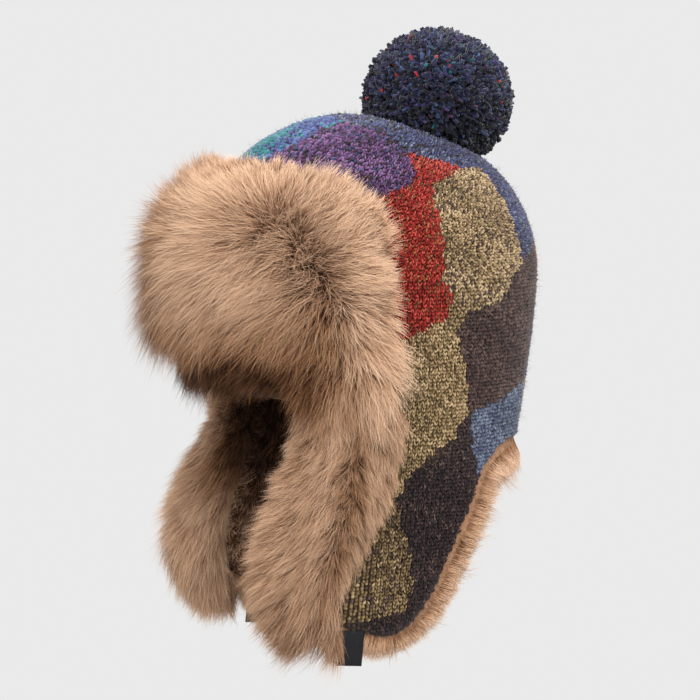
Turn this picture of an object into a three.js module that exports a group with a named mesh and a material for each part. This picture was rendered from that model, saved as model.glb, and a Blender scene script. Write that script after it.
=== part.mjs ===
// Knit trapper hat with a turned-up fur visor, fur-edged ear flaps and a yarn pompom.
// Millimetres, +Z up. The wearer faces -Y and the wearer's left is +X. The origin is the
// centre of the head opening at brow level. A bearing is an angle in degrees seen from
// above: 0 is the nape (+Y), 90 the left ear (+X) and 180 the brow (-Y).
import * as THREE from 'three';

// Crown, measured outside the knit
const HALF_WIDTH = 90;
const HALF_LENGTH = 110;
const WIDEST_Z = 70;
const CROWN_RISE = 98.5;
const KNIT_THICKNESS = 4;

// Below its widest ring the crown draws in towards the ears and the nape
const TAPER_SPAN = 64;
const TAPER_POWER = 1.4;
const SIDE_TAPER = 0.041;
const END_TAPER = 0.065;
const NAPE_Z = -45;
const FLAP_ROUND_Z = -25;
const FLAP_FLAT_Z = -110;
const FLAP_HALF_LENGTH = 118;
const ROUND_POWER = 2;
const FLAT_POWER = 4;

// The pompom's weight dents the back slope of the crown, and the knit is gathered there
const GATHER_Y = 47;
const DENT = { y: 38, depth: 7, spread: 30 };

// Lower edge of the knit from nape to brow, the same on both sides. ringBearing is where
// the column of stitches that ends at the point crosses the brow ring.
const BROW_RING_Z = 12;
const KNIT_EDGE = [
  { place: 'nape', ringBearing: 0, bearing: 0, z: -31 },
  { place: 'nape side', ringBearing: 22, bearing: 23, z: -31 },
  { place: 'flap root', ringBearing: 39, bearing: 42, z: -32 },
  { place: 'flap root, low', ringBearing: 49, bearing: 54.5, z: -39 },
  { place: 'flap rear, waist', ringBearing: 56, bearing: 62, z: -51 },
  { place: 'flap rear, high', ringBearing: 63, bearing: 67.5, z: -71 },
  { place: 'flap rear, middle', ringBearing: 71, bearing: 74.5, z: -96 },
  { place: 'flap rear, low', ringBearing: 79, bearing: 82, z: -121 },
  { place: 'flap tip, rear', ringBearing: 87, bearing: 92, z: -138 },
  { place: 'flap tip', ringBearing: 95, bearing: 103, z: -144 },
  { place: 'flap tip, front', ringBearing: 103, bearing: 113, z: -141 },
  { place: 'flap corner', ringBearing: 109, bearing: 124, z: -134.5 },
  { place: 'flap front, low', ringBearing: 114, bearing: 133.5, z: -123 },
  { place: 'flap front, bulge', ringBearing: 118, bearing: 138, z: -106 },
  { place: 'flap front, middle', ringBearing: 121, bearing: 137, z: -88 },
  { place: 'flap front, high', ringBearing: 124.5, bearing: 135, z: -70 },
  { place: 'flap front, waist', ringBearing: 128, bearing: 132, z: -42 },
  { place: 'temple', ringBearing: 131.5, bearing: 130.5, z: -7 },
  { place: 'brow side', ringBearing: 147, bearing: 147, z: 0 },
  { place: 'brow', ringBearing: 180, bearing: 180, z: 2 },
];
const FLAP_TIP_ROW = 9;
const TEMPLE_ROW = 17;

// Clearance between pieces that lie on each other
const GAP = 0.8;

// Lining of the crown
const LINING_THICKNESS = 3;

// Visor: its pile seen as a pad on the brow of the crown, widest in the middle
const VISOR = {
  halfSpan: 76,
  lowZ: 5,
  highZ: 134,
  endLowZ: 2,
  endHighZ: 84,
  cornerPower: 3.4,
  crestPower: { up: 2.4, across: 5 },
  pile: 31,
  edgePile: 7,
  columns: 36,
  rows: 12,
};

// Fur roll round the front edge of a flap. Shares run from its top (0) to its low end (1).
const TRIM = {
  topZ: -4,
  noseTopZ: -12,
  lowZ: -126,
  outsideWidth: { top: 52, middle: 48, low: 13 },
  narrowing: { upper: [0, 0.45], lower: [0.35, 0.95] },
  insideWidth: 5,
  edgeGap: 1.5,
  pile: 25,
  edgePile: 3.5,
  endPile: { top: 0.55, growth: 4, shrink: 5 },
  tipDrop: 30,
  tipDropFrom: 0.7,
  stations: 19,
  outsideSteps: 7,
  noseSteps: 4,
  insideSteps: 1,
};

// Fur lining of the flaps and the nape, with a fringe past the knit edge. Each range is
// where one value turns into the next: bearings, heights below the brow, or shares of a
// column from the brow ring (0) to the knit edge (1).
const RIM_FUR = {
  topShare: 0.12,
  pile: 15,
  topPile: 4,
  pileRange: [-0.2, 0.6],
  endColumns: [-1, 3],
  fringe: { nape: 24, flapRear: 19, flapTip: 18, flapFront: 0 },
  fringeBearings: { rear: [40, 62], front: [116, 130] },
  fringeTipDepths: [90, 140],
  fringeRange: [0.4, 1],
  turnRange: [0.55, 1],
  fringeDepth: { nape: -4, flapTip: 2.5, bearings: [60, 100] },
  frontInset: 5,
  insetBearings: [96, 116],
  rows: 6,
};

// Locks: every other point of a fur surface stands proud and is combed along the lie
const LOCK = { rise: 0.15, comb: 4, unevenness: 0.5, columnTurn: 2.4, rowTurn: 3.9 };

// Pompom
const POMPOM = { radius: 46, lock: 2.5, flatness: 0.95, y: 50, z: 175.5, columns: 28, rows: 14 };

// Woven tabs on the flap tips
const TAB = { bearing: 120, width: 17, drop: 21, thickness: 1.2, gap: 0.5, searchStations: 448 };

// Shell grid
const EDGE_STATIONS = 56;
const DOME_STEPS = 9;
const WALL_STEPS = 4;
const DROP_STEPS = 6;
const TANGENT_STEP = 0.01;
const NORMAL_STEP = 0.5;

const rad = THREE.MathUtils.degToRad;
const { smoothstep, lerp, clamp } = THREE.MathUtils;

/** Half axes and squareness of the crown's section at a height, outside the knit. */
function section(z, front) {
  if (z >= WIDEST_Z) {
    const shrink = Math.sqrt(Math.max(0, 1 - ((z - WIDEST_Z) / CROWN_RISE) ** 2));
    return { a: HALF_WIDTH * shrink, b: HALF_LENGTH * shrink, power: ROUND_POWER };
  }
  const drop = (level) => ((WIDEST_Z - level) / TAPER_SPAN) ** TAPER_POWER;
  const lowest = front ? 0 : NAPE_Z;
  const b = HALF_LENGTH * (1 - END_TAPER * drop(Math.max(z, lowest)));
  const flare = front ? smoothstep(-z, 0, -FLAP_FLAT_Z) : 0;
  const flat = smoothstep(-z, -FLAP_ROUND_Z, -FLAP_FLAT_Z);
  return {
    a: HALF_WIDTH * (1 - SIDE_TAPER * drop(z)),
    b: lerp(b, FLAP_HALF_LENGTH, flare),
    power: lerp(ROUND_POWER, FLAT_POWER, flat),
  };
}

/** Height of the dent under the pompom at a place in plan. */
function dentAt(x, y) {
  const distance = x * x + (y - DENT.y) ** 2;
  return DENT.depth * Math.exp(-distance / (2 * DENT.spread ** 2));
}

/** Point of the crown's outer face at a bearing and a height, without the dent. */
function wallPoint(bearing, z) {
  const east = Math.sin(rad(bearing));
  const north = Math.cos(rad(bearing));
  const { a, b, power } = section(z, north < 0);
  const radius = (Math.abs(east / a) ** power + Math.abs(north / b) ** power) ** (-1 / power);
  return new THREE.Vector3(radius * east, radius * north, z);
}

/** Outward direction of the crown's outer face at one of its points. */
function wallNormal(point) {
  if (point.z >= WIDEST_Z) {
    return new THREE.Vector3(
      point.x / HALF_WIDTH ** 2,
      point.y / HALF_LENGTH ** 2,
      (point.z - WIDEST_Z) / CROWN_RISE ** 2,
    ).normalize();
  }
  const level = (x, y, z) => {
    const { a, b, power } = section(z, y < 0);
    return Math.abs(x / a) ** power + Math.abs(y / b) ** power;
  };
  const { x, y, z } = point;
  return new THREE.Vector3(
    level(x + NORMAL_STEP, y, z) - level(x - NORMAL_STEP, y, z),
    level(x, y + NORMAL_STEP, z) - level(x, y - NORMAL_STEP, z),
    level(x, y, z + NORMAL_STEP) - level(x, y, z - NORMAL_STEP),
  ).normalize();
}

/** Moves a point of the outer face out along its normal, then lets the dent lower it. */
function offset(point, distance) {
  const moved = point.clone().addScaledVector(wallNormal(point), distance);
  if (point.z > WIDEST_Z) moved.z -= dentAt(point.x, point.y);
  return moved;
}

/** The knit edge from nape to brow as a smooth curve of ring bearing, bearing and height. */
const edgeCurve = new THREE.CatmullRomCurve3(
  KNIT_EDGE.map((row) => new THREE.Vector3(row.ringBearing, row.bearing, row.z)),
  false,
  'centripetal',
);

/** The same station on the right side. */
function mirrored(station) {
  return { ...station, ringBearing: -station.ringBearing, bearing: -station.bearing };
}

/** Edge stations all the way round, starting at the nape and turning to the left side. */
function edgeStations(count) {
  const half = [];
  for (let i = 0; i <= count / 2; i++) {
    const along = (2 * i) / count;
    const point = edgeCurve.getPointAt(along);
    half.push({ ringBearing: point.x, bearing: point.y, z: point.z, along });
  }
  return [...half, ...half.slice(1, -1).reverse().map(mirrored)];
}

/** Direction along the knit edge from nape to brow at a station. */
function edgeTangent(station) {
  const side = station.bearing < 0 ? -1 : 1;
  const [from, to] = [-TANGENT_STEP, TANGENT_STEP].map((step) => {
    const point = edgeCurve.getPointAt(clamp(station.along + step, 0, 1));
    return wallPoint(side * point.y, point.z);
  });
  return to.sub(from).normalize();
}

/** Direction away from the knit across its edge at a station. */
function edgeOutward(station) {
  const side = station.bearing < 0 ? -1 : 1;
  const normal = wallNormal(wallPoint(station.bearing, station.z));
  return new THREE.Vector3().crossVectors(normal, edgeTangent(station)).multiplyScalar(side);
}

/** Point of the dome between the gather (share 0) and the widest ring (share 1). */
function domePoint(bearing, share) {
  const gatherHeight = Math.sqrt(1 - (GATHER_Y / HALF_LENGTH) ** 2);
  const gather = new THREE.Vector3(0, GATHER_Y / HALF_LENGTH, gatherHeight);
  const ring = wallPoint(bearing, WIDEST_Z);
  const foot = new THREE.Vector3(ring.x / HALF_WIDTH, ring.y / HALF_LENGTH, 0);
  const angle = gather.angleTo(foot);
  const onSphere = gather
    .clone()
    .multiplyScalar(Math.sin((1 - share) * angle))
    .addScaledVector(foot, Math.sin(share * angle))
    .divideScalar(Math.sin(angle));
  return new THREE.Vector3(
    onSphere.x * HALF_WIDTH,
    onSphere.y * HALF_LENGTH,
    WIDEST_Z + onSphere.z * CROWN_RISE,
  );
}

/** Point of the outer face between the brow ring (share 0) and the knit edge (share 1). */
function dropPoint(station, share) {
  const bearing = lerp(station.ringBearing, station.bearing, share);
  return wallPoint(bearing, lerp(BROW_RING_Z, station.z, share));
}

/** Columns of outer-face points from the gather down; dropShare is how far below the ring. */
function shellColumn(station, dropShare) {
  const column = [];
  for (let i = 1; i <= DOME_STEPS; i++) column.push(domePoint(station.ringBearing, i / DOME_STEPS));
  for (let i = 1; i <= WALL_STEPS; i++) {
    column.push(wallPoint(station.ringBearing, lerp(WIDEST_Z, BROW_RING_Z, i / WALL_STEPS)));
  }
  const steps = Math.round(DROP_STEPS * dropShare);
  for (let i = 1; i <= steps; i++) column.push(dropPoint(station, (dropShare * i) / steps));
  return column;
}

/** Closed geometry from points and triangles, turned so that its faces point out. */
function closedGeometry(points, triangles) {
  const volume = triangles.reduce(
    (sum, [a, b, c]) => sum + points[a].dot(new THREE.Vector3().crossVectors(points[b], points[c])),
    0,
  );
  const outward = volume > 0 ? triangles : triangles.map(([a, b, c]) => [a, c, b]);
  const geometry = new THREE.BufferGeometry().setFromPoints(points);
  geometry.setIndex(outward.flat());
  geometry.computeVertexNormals();
  return geometry;
}

/** Splits a quad of the grid so that each raised lock is a peak of its own. */
function splitQuad(corners, even) {
  const [a, b, c, d] = corners;
  return even ? [[a, b, c], [a, c, d]] : [[a, b, d], [b, c, d]];
}

/** Solid between two poles through closed rings of equal length. */
function ringSolid(startPole, rings, endPole) {
  const count = rings[0].length;
  const points = [startPole, ...rings.flat(), endPole];
  const at = (ring, i) => 1 + ring * count + ((i + count) % count);
  const triangles = [];
  for (let i = 0; i < count; i++) {
    triangles.push([0, at(0, i), at(0, i + 1)]);
    triangles.push([points.length - 1, at(rings.length - 1, i + 1), at(rings.length - 1, i)]);
    for (let ring = 0; ring + 1 < rings.length; ring++) {
      const corners = [at(ring, i), at(ring + 1, i), at(ring + 1, i + 1), at(ring, i + 1)];
      triangles.push(...splitQuad(corners, (ring + i) % 2 === 0));
    }
  }
  return closedGeometry(points, triangles);
}

/** Solid between an outer and an inner sheet of equal grids, closed along its four sides. */
function sheetSolid(outer, inner) {
  const columns = outer.length;
  const rows = outer[0].length;
  const points = [...outer.flat(), ...inner.flat()];
  const top = (i, j) => i * rows + j;
  const under = (i, j) => columns * rows + i * rows + j;
  const triangles = [];
  const quad = (corners, even) => triangles.push(...splitQuad(corners, even));
  for (let i = 0; i + 1 < columns; i++) {
    for (let j = 0; j + 1 < rows; j++) {
      const even = (i + j) % 2 === 0;
      quad([top(i, j), top(i + 1, j), top(i + 1, j + 1), top(i, j + 1)], even);
      quad([under(i, j), under(i, j + 1), under(i + 1, j + 1), under(i + 1, j)], even);
    }
    quad([top(i, 0), under(i, 0), under(i + 1, 0), top(i + 1, 0)], true);
    const last = rows - 1;
    quad([top(i, last), top(i + 1, last), under(i + 1, last), under(i, last)], true);
  }
  for (let j = 0; j + 1 < rows; j++) {
    const last = columns - 1;
    quad([top(0, j), top(0, j + 1), under(0, j + 1), under(0, j)], true);
    quad([top(last, j), under(last, j), under(last, j + 1), top(last, j + 1)], true);
  }
  return closedGeometry(points, triangles);
}

/** Height factor of a fur point: even points lie low, odd points are tips of uneven locks. */
function lockFactor(i, j) {
  if ((i + j) % 2 === 0) return 1 - LOCK.rise;
  const uneven = Math.sin(i * LOCK.columnTurn + j * LOCK.rowTurn);
  return 1 + LOCK.rise * (1 + LOCK.unevenness * uneven);
}

/** How far a fur point is combed along the lie of the pile. */
function lockComb(i, j) {
  return (i + j) % 2 === 0 ? 0 : LOCK.comb;
}

/** Hollow shell between two depths under the crown's outer face, open at the bottom. */
function crownShell(stations, dropShare, near, far) {
  const columns = stations.map((station) => shellColumn(station, dropShare));
  const levels = columns[0].map((_, level) => level);
  const face = (depth) => levels.map((level) => columns.map((c) => offset(c[level], -depth)));
  const gather = domePoint(0, 0);
  return ringSolid(offset(gather, -near), [...face(near), ...face(far).reverse()], offset(gather, -far));
}

/** Hollow knitted crown with the outer layer of both flaps. */
function knitCrown() {
  return crownShell(edgeStations(EDGE_STATIONS), 1, 0, KNIT_THICKNESS);
}

/** Fleece lining inside the crown, down to the brow ring. */
function crownLining() {
  const stations = edgeStations(EDGE_STATIONS).filter((_, i) => i % 2 === 0);
  const near = KNIT_THICKNESS + GAP;
  return crownShell(stations, 0, near, near + LINING_THICKNESS);
}

/** Fur visor: a rounded pad of pile on the brow, combed away from its middle. */
function visorFur() {
  const outer = [];
  const inner = [];
  for (let i = 0; i <= VISOR.columns; i++) {
    const across = lerp(-1, 1, i / VISOR.columns);
    const bearing = 180 + VISOR.halfSpan * across;
    const round = Math.sqrt(1 - Math.abs(across) ** VISOR.cornerPower);
    const low = lerp(VISOR.endLowZ, VISOR.lowZ, round);
    const high = lerp(VISOR.endHighZ, VISOR.highZ, round);
    const outerColumn = [];
    const innerColumn = [];
    for (let j = 0; j <= VISOR.rows; j++) {
      const up = lerp(-1, 1, j / VISOR.rows);
      const foot = wallPoint(bearing, lerp(low, high, (up + 1) / 2));
      const crest = VISOR.crestPower;
      const fullness = Math.sqrt((1 - Math.abs(up) ** crest.up) * (1 - Math.abs(across) ** crest.across));
      const pile = lerp(VISOR.edgePile, VISOR.pile, fullness) * lockFactor(i, j);
      const comb = new THREE.Vector3(0, 0, up * lockComb(i, j));
      innerColumn.push(offset(foot, GAP));
      outerColumn.push(offset(foot, GAP + pile).add(comb));
    }
    outer.push(outerColumn);
    inner.push(innerColumn);
  }
  return sheetSolid(outer, inner);
}

/** Bearing of the left flap's front edge at a height. */
function frontEdgeBearing(z) {
  let lower = FLAP_TIP_ROW / (KNIT_EDGE.length - 1);
  let upper = TEMPLE_ROW / (KNIT_EDGE.length - 1);
  while (upper - lower > 1e-4) {
    const middle = (lower + upper) / 2;
    if (edgeCurve.getPoint(middle).z < z) lower = middle;
    else upper = middle;
  }
  return edgeCurve.getPoint(lower).y;
}

/** Width of the trim on the outside of the flap at a share of its length. */
function trimOutsideWidth(along) {
  const { top, middle, low } = TRIM.outsideWidth;
  const upper = lerp(top, middle, smoothstep(along, ...TRIM.narrowing.upper));
  return lerp(upper, low, smoothstep(along, ...TRIM.narrowing.lower));
}

/** Backing point and pile direction of the left trim: outside, round the nose, then inside. */
function trimBacking(along, step) {
  const nose = smoothstep(step, TRIM.outsideSteps - 2, TRIM.outsideSteps);
  const z = lerp(lerp(TRIM.topZ, TRIM.noseTopZ, nose), TRIM.lowZ, along);
  const edgeBearing = frontEdgeBearing(z);
  const edge = wallPoint(edgeBearing, z);
  if (step <= TRIM.outsideSteps) {
    const back = trimOutsideWidth(along) * (1 - step / TRIM.outsideSteps);
    const turned = THREE.MathUtils.radToDeg(back / Math.hypot(edge.x, edge.y));
    const foot = wallPoint(edgeBearing - turned, z);
    return { base: offset(foot, TRIM.edgeGap), direction: wallNormal(foot) };
  }
  const normal = wallNormal(edge).setZ(0).normalize();
  const forward = new THREE.Vector3(normal.y, -normal.x, 0);
  const past = step - TRIM.outsideSteps;
  const angle = (Math.PI * Math.min(past, TRIM.noseSteps)) / TRIM.noseSteps;
  const inward = TRIM.insideWidth * (Math.max(0, past - TRIM.noseSteps) / TRIM.insideSteps);
  const direction = normal
    .clone()
    .multiplyScalar(Math.cos(angle))
    .addScaledVector(forward, Math.sin(angle));
  const base = edge
    .clone()
    .addScaledVector(normal, -KNIT_THICKNESS / 2)
    .addScaledVector(forward, TRIM.edgeGap - inward)
    .addScaledVector(direction, KNIT_THICKNESS / 2 + TRIM.edgeGap);
  return { base, direction };
}

/** Fur roll round the front edge of the left flap; side -1 mirrors it. */
function trimFur(side) {
  const steps = TRIM.outsideSteps + TRIM.noseSteps + TRIM.insideSteps;
  const place = (p) => new THREE.Vector3(side * p.x, p.y, p.z);
  const outer = [];
  const inner = [];
  for (let i = 0; i <= TRIM.stations; i++) {
    const along = i / TRIM.stations;
    const { top, growth, shrink } = TRIM.endPile;
    const endShare = Math.min(1, top + growth * along, shrink * (1 - along));
    const outerColumn = [];
    const innerColumn = [];
    for (let j = 0; j <= steps; j++) {
      const { base, direction } = trimBacking(along, j);
      const round = Math.max(0, Math.sin((Math.PI * j) / steps));
      const pile = lerp(TRIM.edgePile, TRIM.pile, Math.sqrt(round * endShare)) * lockFactor(i, j);
      const drop = TRIM.tipDrop * smoothstep(along, TRIM.tipDropFrom, 1) + lockComb(i, j);
      const tip = base.clone().addScaledVector(direction, pile);
      tip.z -= drop;
      innerColumn.push(place(base));
      outerColumn.push(place(tip));
    }
    outer.push(outerColumn);
    inner.push(innerColumn);
  }
  return sheetSolid(outer, inner);
}

/** Fringe length past the knit edge for a station of the left half. */
function fringeAt(station) {
  const { nape, flapRear, flapTip, flapFront } = RIM_FUR.fringe;
  const { rear, front } = RIM_FUR.fringeBearings;
  const behind = lerp(nape, flapRear, smoothstep(station.bearing, ...rear));
  const below = lerp(behind, flapTip, smoothstep(-station.z, ...RIM_FUR.fringeTipDepths));
  return lerp(below, flapFront, smoothstep(station.bearing, ...front));
}

/** Depth of the fringe's tips behind the outer face of the knit, for the left half. */
function fringeDepthAt(station) {
  const { nape, flapTip, bearings } = RIM_FUR.fringeDepth;
  return lerp(nape, flapTip, smoothstep(station.bearing, ...bearings));
}

/** Stations of the lined stretch of the rim, which stops short of the front edges' trim. */
function linedStations() {
  const left = edgeStations(EDGE_STATIONS)
    .slice(0, EDGE_STATIONS / 2)
    .filter((station) => station.z < KNIT_EDGE[TEMPLE_ROW].z - RIM_FUR.frontInset)
    .map((station) => {
      const inset = RIM_FUR.frontInset * smoothstep(station.ringBearing, ...RIM_FUR.insetBearings);
      return {
        ...station,
        ringBearing: station.ringBearing - inset,
        bearing: station.bearing - inset,
        fringe: fringeAt(station),
        fringeDepth: fringeDepthAt(station),
      };
    });
  return [...left.slice(1).reverse().map(mirrored), ...left];
}

/** Fur lining of both flaps and the nape, turned out past the knit edge as a fringe. */
function rimLiningFur() {
  const stations = linedStations();
  const face = KNIT_THICKNESS + GAP;
  const outer = [];
  const inner = [];
  stations.forEach((station, i) => {
    const beyond = edgeOutward(station);
    const ends = smoothstep(Math.min(i, stations.length - 1 - i), ...RIM_FUR.endColumns);
    const outerColumn = [];
    const innerColumn = [];
    for (let j = 0; j <= RIM_FUR.rows; j++) {
      const down = j / RIM_FUR.rows;
      const foot = dropPoint(station, lerp(RIM_FUR.topShare, 1, down));
      const fullness = smoothstep(down, ...RIM_FUR.pileRange) * ends;
      const pile = lerp(RIM_FUR.topPile, RIM_FUR.pile, fullness) * lockFactor(i, j);
      const turned = station.fringe > 0 ? smoothstep(down, ...RIM_FUR.turnRange) : 0;
      const depth = lerp(face + pile, station.fringeDepth, turned);
      const reach = station.fringe * smoothstep(down, ...RIM_FUR.fringeRange) * lockFactor(i, j);
      innerColumn.push(offset(foot, -face));
      outerColumn.push(offset(foot, -depth).addScaledVector(beyond, reach));
    }
    outer.push(outerColumn);
    inner.push(innerColumn);
  });
  return sheetSolid(outer, inner);
}

/** Height of the crown's outer face over a place in plan. */
function crownHeight(x, y) {
  const inside = Math.max(0, 1 - (x / HALF_WIDTH) ** 2 - (y / HALF_LENGTH) ** 2);
  return WIDEST_Z + CROWN_RISE * Math.sqrt(inside) - dentAt(x, y);
}

/** Yarn pompom, flattened where it sits on the crown. */
function pompom() {
  const centre = new THREE.Vector3(0, POMPOM.y, POMPOM.z);
  const settle = (point) => {
    point.z = Math.max(point.z, crownHeight(point.x, point.y) + 2 * GAP);
    return point;
  };
  const rings = [];
  for (let j = 1; j < POMPOM.rows; j++) {
    const polar = (Math.PI * j) / POMPOM.rows;
    const ring = [];
    for (let i = 0; i < POMPOM.columns; i++) {
      const turn = (2 * Math.PI * i) / POMPOM.columns;
      const radius = POMPOM.radius + ((i + j) % 2 === 0 ? -1 : 1) * POMPOM.lock;
      const point = new THREE.Vector3().setFromSphericalCoords(radius, polar, turn);
      const seat = new THREE.Vector3(point.x, point.z, POMPOM.flatness * point.y);
      ring.push(settle(seat.add(centre)));
    }
    rings.push(ring);
  }
  const top = centre.clone().add(new THREE.Vector3(0, 0, POMPOM.radius));
  const bottom = settle(centre.clone().add(new THREE.Vector3(0, 0, -POMPOM.radius)));
  return ringSolid(top, rings, bottom);
}

/** Plain woven tab hanging from the tip of the left flap; side -1 mirrors it. */
function flapTab(side) {
  const foot = edgeStations(TAB.searchStations).find((station) => station.bearing > TAB.bearing);
  const edge = wallPoint(foot.bearing, foot.z);
  const along = edgeTangent(foot);
  const beyond = edgeOutward(foot);
  const normal = wallNormal(edge);
  const corner = (across, depth, drop) => {
    const point = edge.clone().addScaledVector(along, across).addScaledVector(normal, depth);
    point.addScaledVector(beyond, TAB.gap + drop);
    return new THREE.Vector3(side * point.x, point.y, point.z);
  };
  const face = (depth) =>
    [-TAB.width / 2, TAB.width / 2].map((across) =>
      [0, TAB.drop].map((drop) => corner(across, depth, drop)),
    );
  return sheetSolid(face(0), face(-TAB.thickness));
}

const FINISHES = {
  knit: { color: 0x4a4038, roughness: 0.95, metalness: 0 },
  fleece: { color: 0x3a2a20, roughness: 0.95, metalness: 0 },
  fur: { color: 0xb08a66, roughness: 0.8, metalness: 0 },
  yarn: { color: 0x23284a, roughness: 0.9, metalness: 0 },
  woven: { color: 0x17181c, roughness: 0.6, metalness: 0 },
};

/** Named mesh of a piece with its own material. */
function piece(name, finish, geometry) {
  const mesh = new THREE.Mesh(geometry, new THREE.MeshStandardMaterial(FINISHES[finish]));
  mesh.name = name;
  return mesh;
}

const hat = new THREE.Group();
hat.add(
  piece('knit_crown', 'knit', knitCrown()),
  piece('crown_lining', 'fleece', crownLining()),
  piece('visor_fur', 'fur', visorFur()),
  piece('flap_trim_fur_left', 'fur', trimFur(1)),
  piece('flap_trim_fur_right', 'fur', trimFur(-1)),
  piece('rim_lining_fur', 'fur', rimLiningFur()),
  piece('pompom', 'yarn', pompom()),
  piece('flap_tab_left', 'woven', flapTab(1)),
  piece('flap_tab_right', 'woven', flapTab(-1)),
);

export default hat;
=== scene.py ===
"""Knit trapper hat: patchwork crown, fur visor, fur-edged ear flaps and a yarn pompom.

The sizes are in millimetres in the shared frame of the part: +Z up, the wearer faces -Y and the
wearer's left is +X. Meshes are turned into metres when they are made. A bearing is an angle in
degrees seen from above: 0 is the nape (+Y), 90 the left ear (+X) and 180 the brow (-Y).
"""

import logging
import math
from dataclasses import dataclass, field
from enum import Enum

import bmesh
import bpy
import numpy as np
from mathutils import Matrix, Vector

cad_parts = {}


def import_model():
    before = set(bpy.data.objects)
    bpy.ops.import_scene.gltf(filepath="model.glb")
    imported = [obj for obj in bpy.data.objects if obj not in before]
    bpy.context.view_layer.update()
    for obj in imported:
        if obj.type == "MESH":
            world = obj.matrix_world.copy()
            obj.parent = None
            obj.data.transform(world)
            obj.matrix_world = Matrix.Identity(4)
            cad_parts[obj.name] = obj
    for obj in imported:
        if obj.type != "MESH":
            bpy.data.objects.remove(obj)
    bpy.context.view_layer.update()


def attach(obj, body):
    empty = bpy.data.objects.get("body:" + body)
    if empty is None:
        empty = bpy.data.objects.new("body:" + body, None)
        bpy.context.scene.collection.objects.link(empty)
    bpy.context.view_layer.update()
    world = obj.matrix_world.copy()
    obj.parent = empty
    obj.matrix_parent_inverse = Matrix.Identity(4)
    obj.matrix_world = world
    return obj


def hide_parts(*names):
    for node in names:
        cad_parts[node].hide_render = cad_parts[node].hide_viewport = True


LOG = logging.getLogger("hat")
Array = np.ndarray
Piece = bpy.types.Object
Mesh = bpy.types.Mesh
Material = bpy.types.Material
NodeTree = bpy.types.NodeTree
Colour = tuple[int, int, int]
Stops = tuple[tuple[float, Colour], ...]
MM = 0.001
BODY = "root"
PALETTE_UV = "OFBake"
TONE_START = 0.03
TONE_REACH = 0.94


def smooth(value: Array, low: float, high: float) -> Array:
    """Smooth step.

    Args:
        value: Numbers to read.
        low: Where the step begins.
        high: Where the step is complete.

    Returns:
        Shares from 0 to 1.
    """
    share = np.clip((value - low) / (high - low), 0.0, 1.0)
    return share * share * (3.0 - 2.0 * share)


@dataclass(frozen=True)
class Fade:
    """Smooth rise from 0 to a gain between two values."""

    low: float
    high: float
    gain: float = 1.0

    def __call__(self, value: Array) -> Array:
        """Height of the rise at values."""
        return self.gain * smooth(value, self.low, self.high)


def blend(start: Array, end: Array, share: Array) -> Array:
    """Value at a share of the way from start to end."""
    return start + (end - start) * share


def unit(vectors: Array) -> Array:
    """Vectors of the same directions, one long."""
    return vectors / np.maximum(np.linalg.norm(vectors, axis=-1, keepdims=True), 1e-9)


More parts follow.
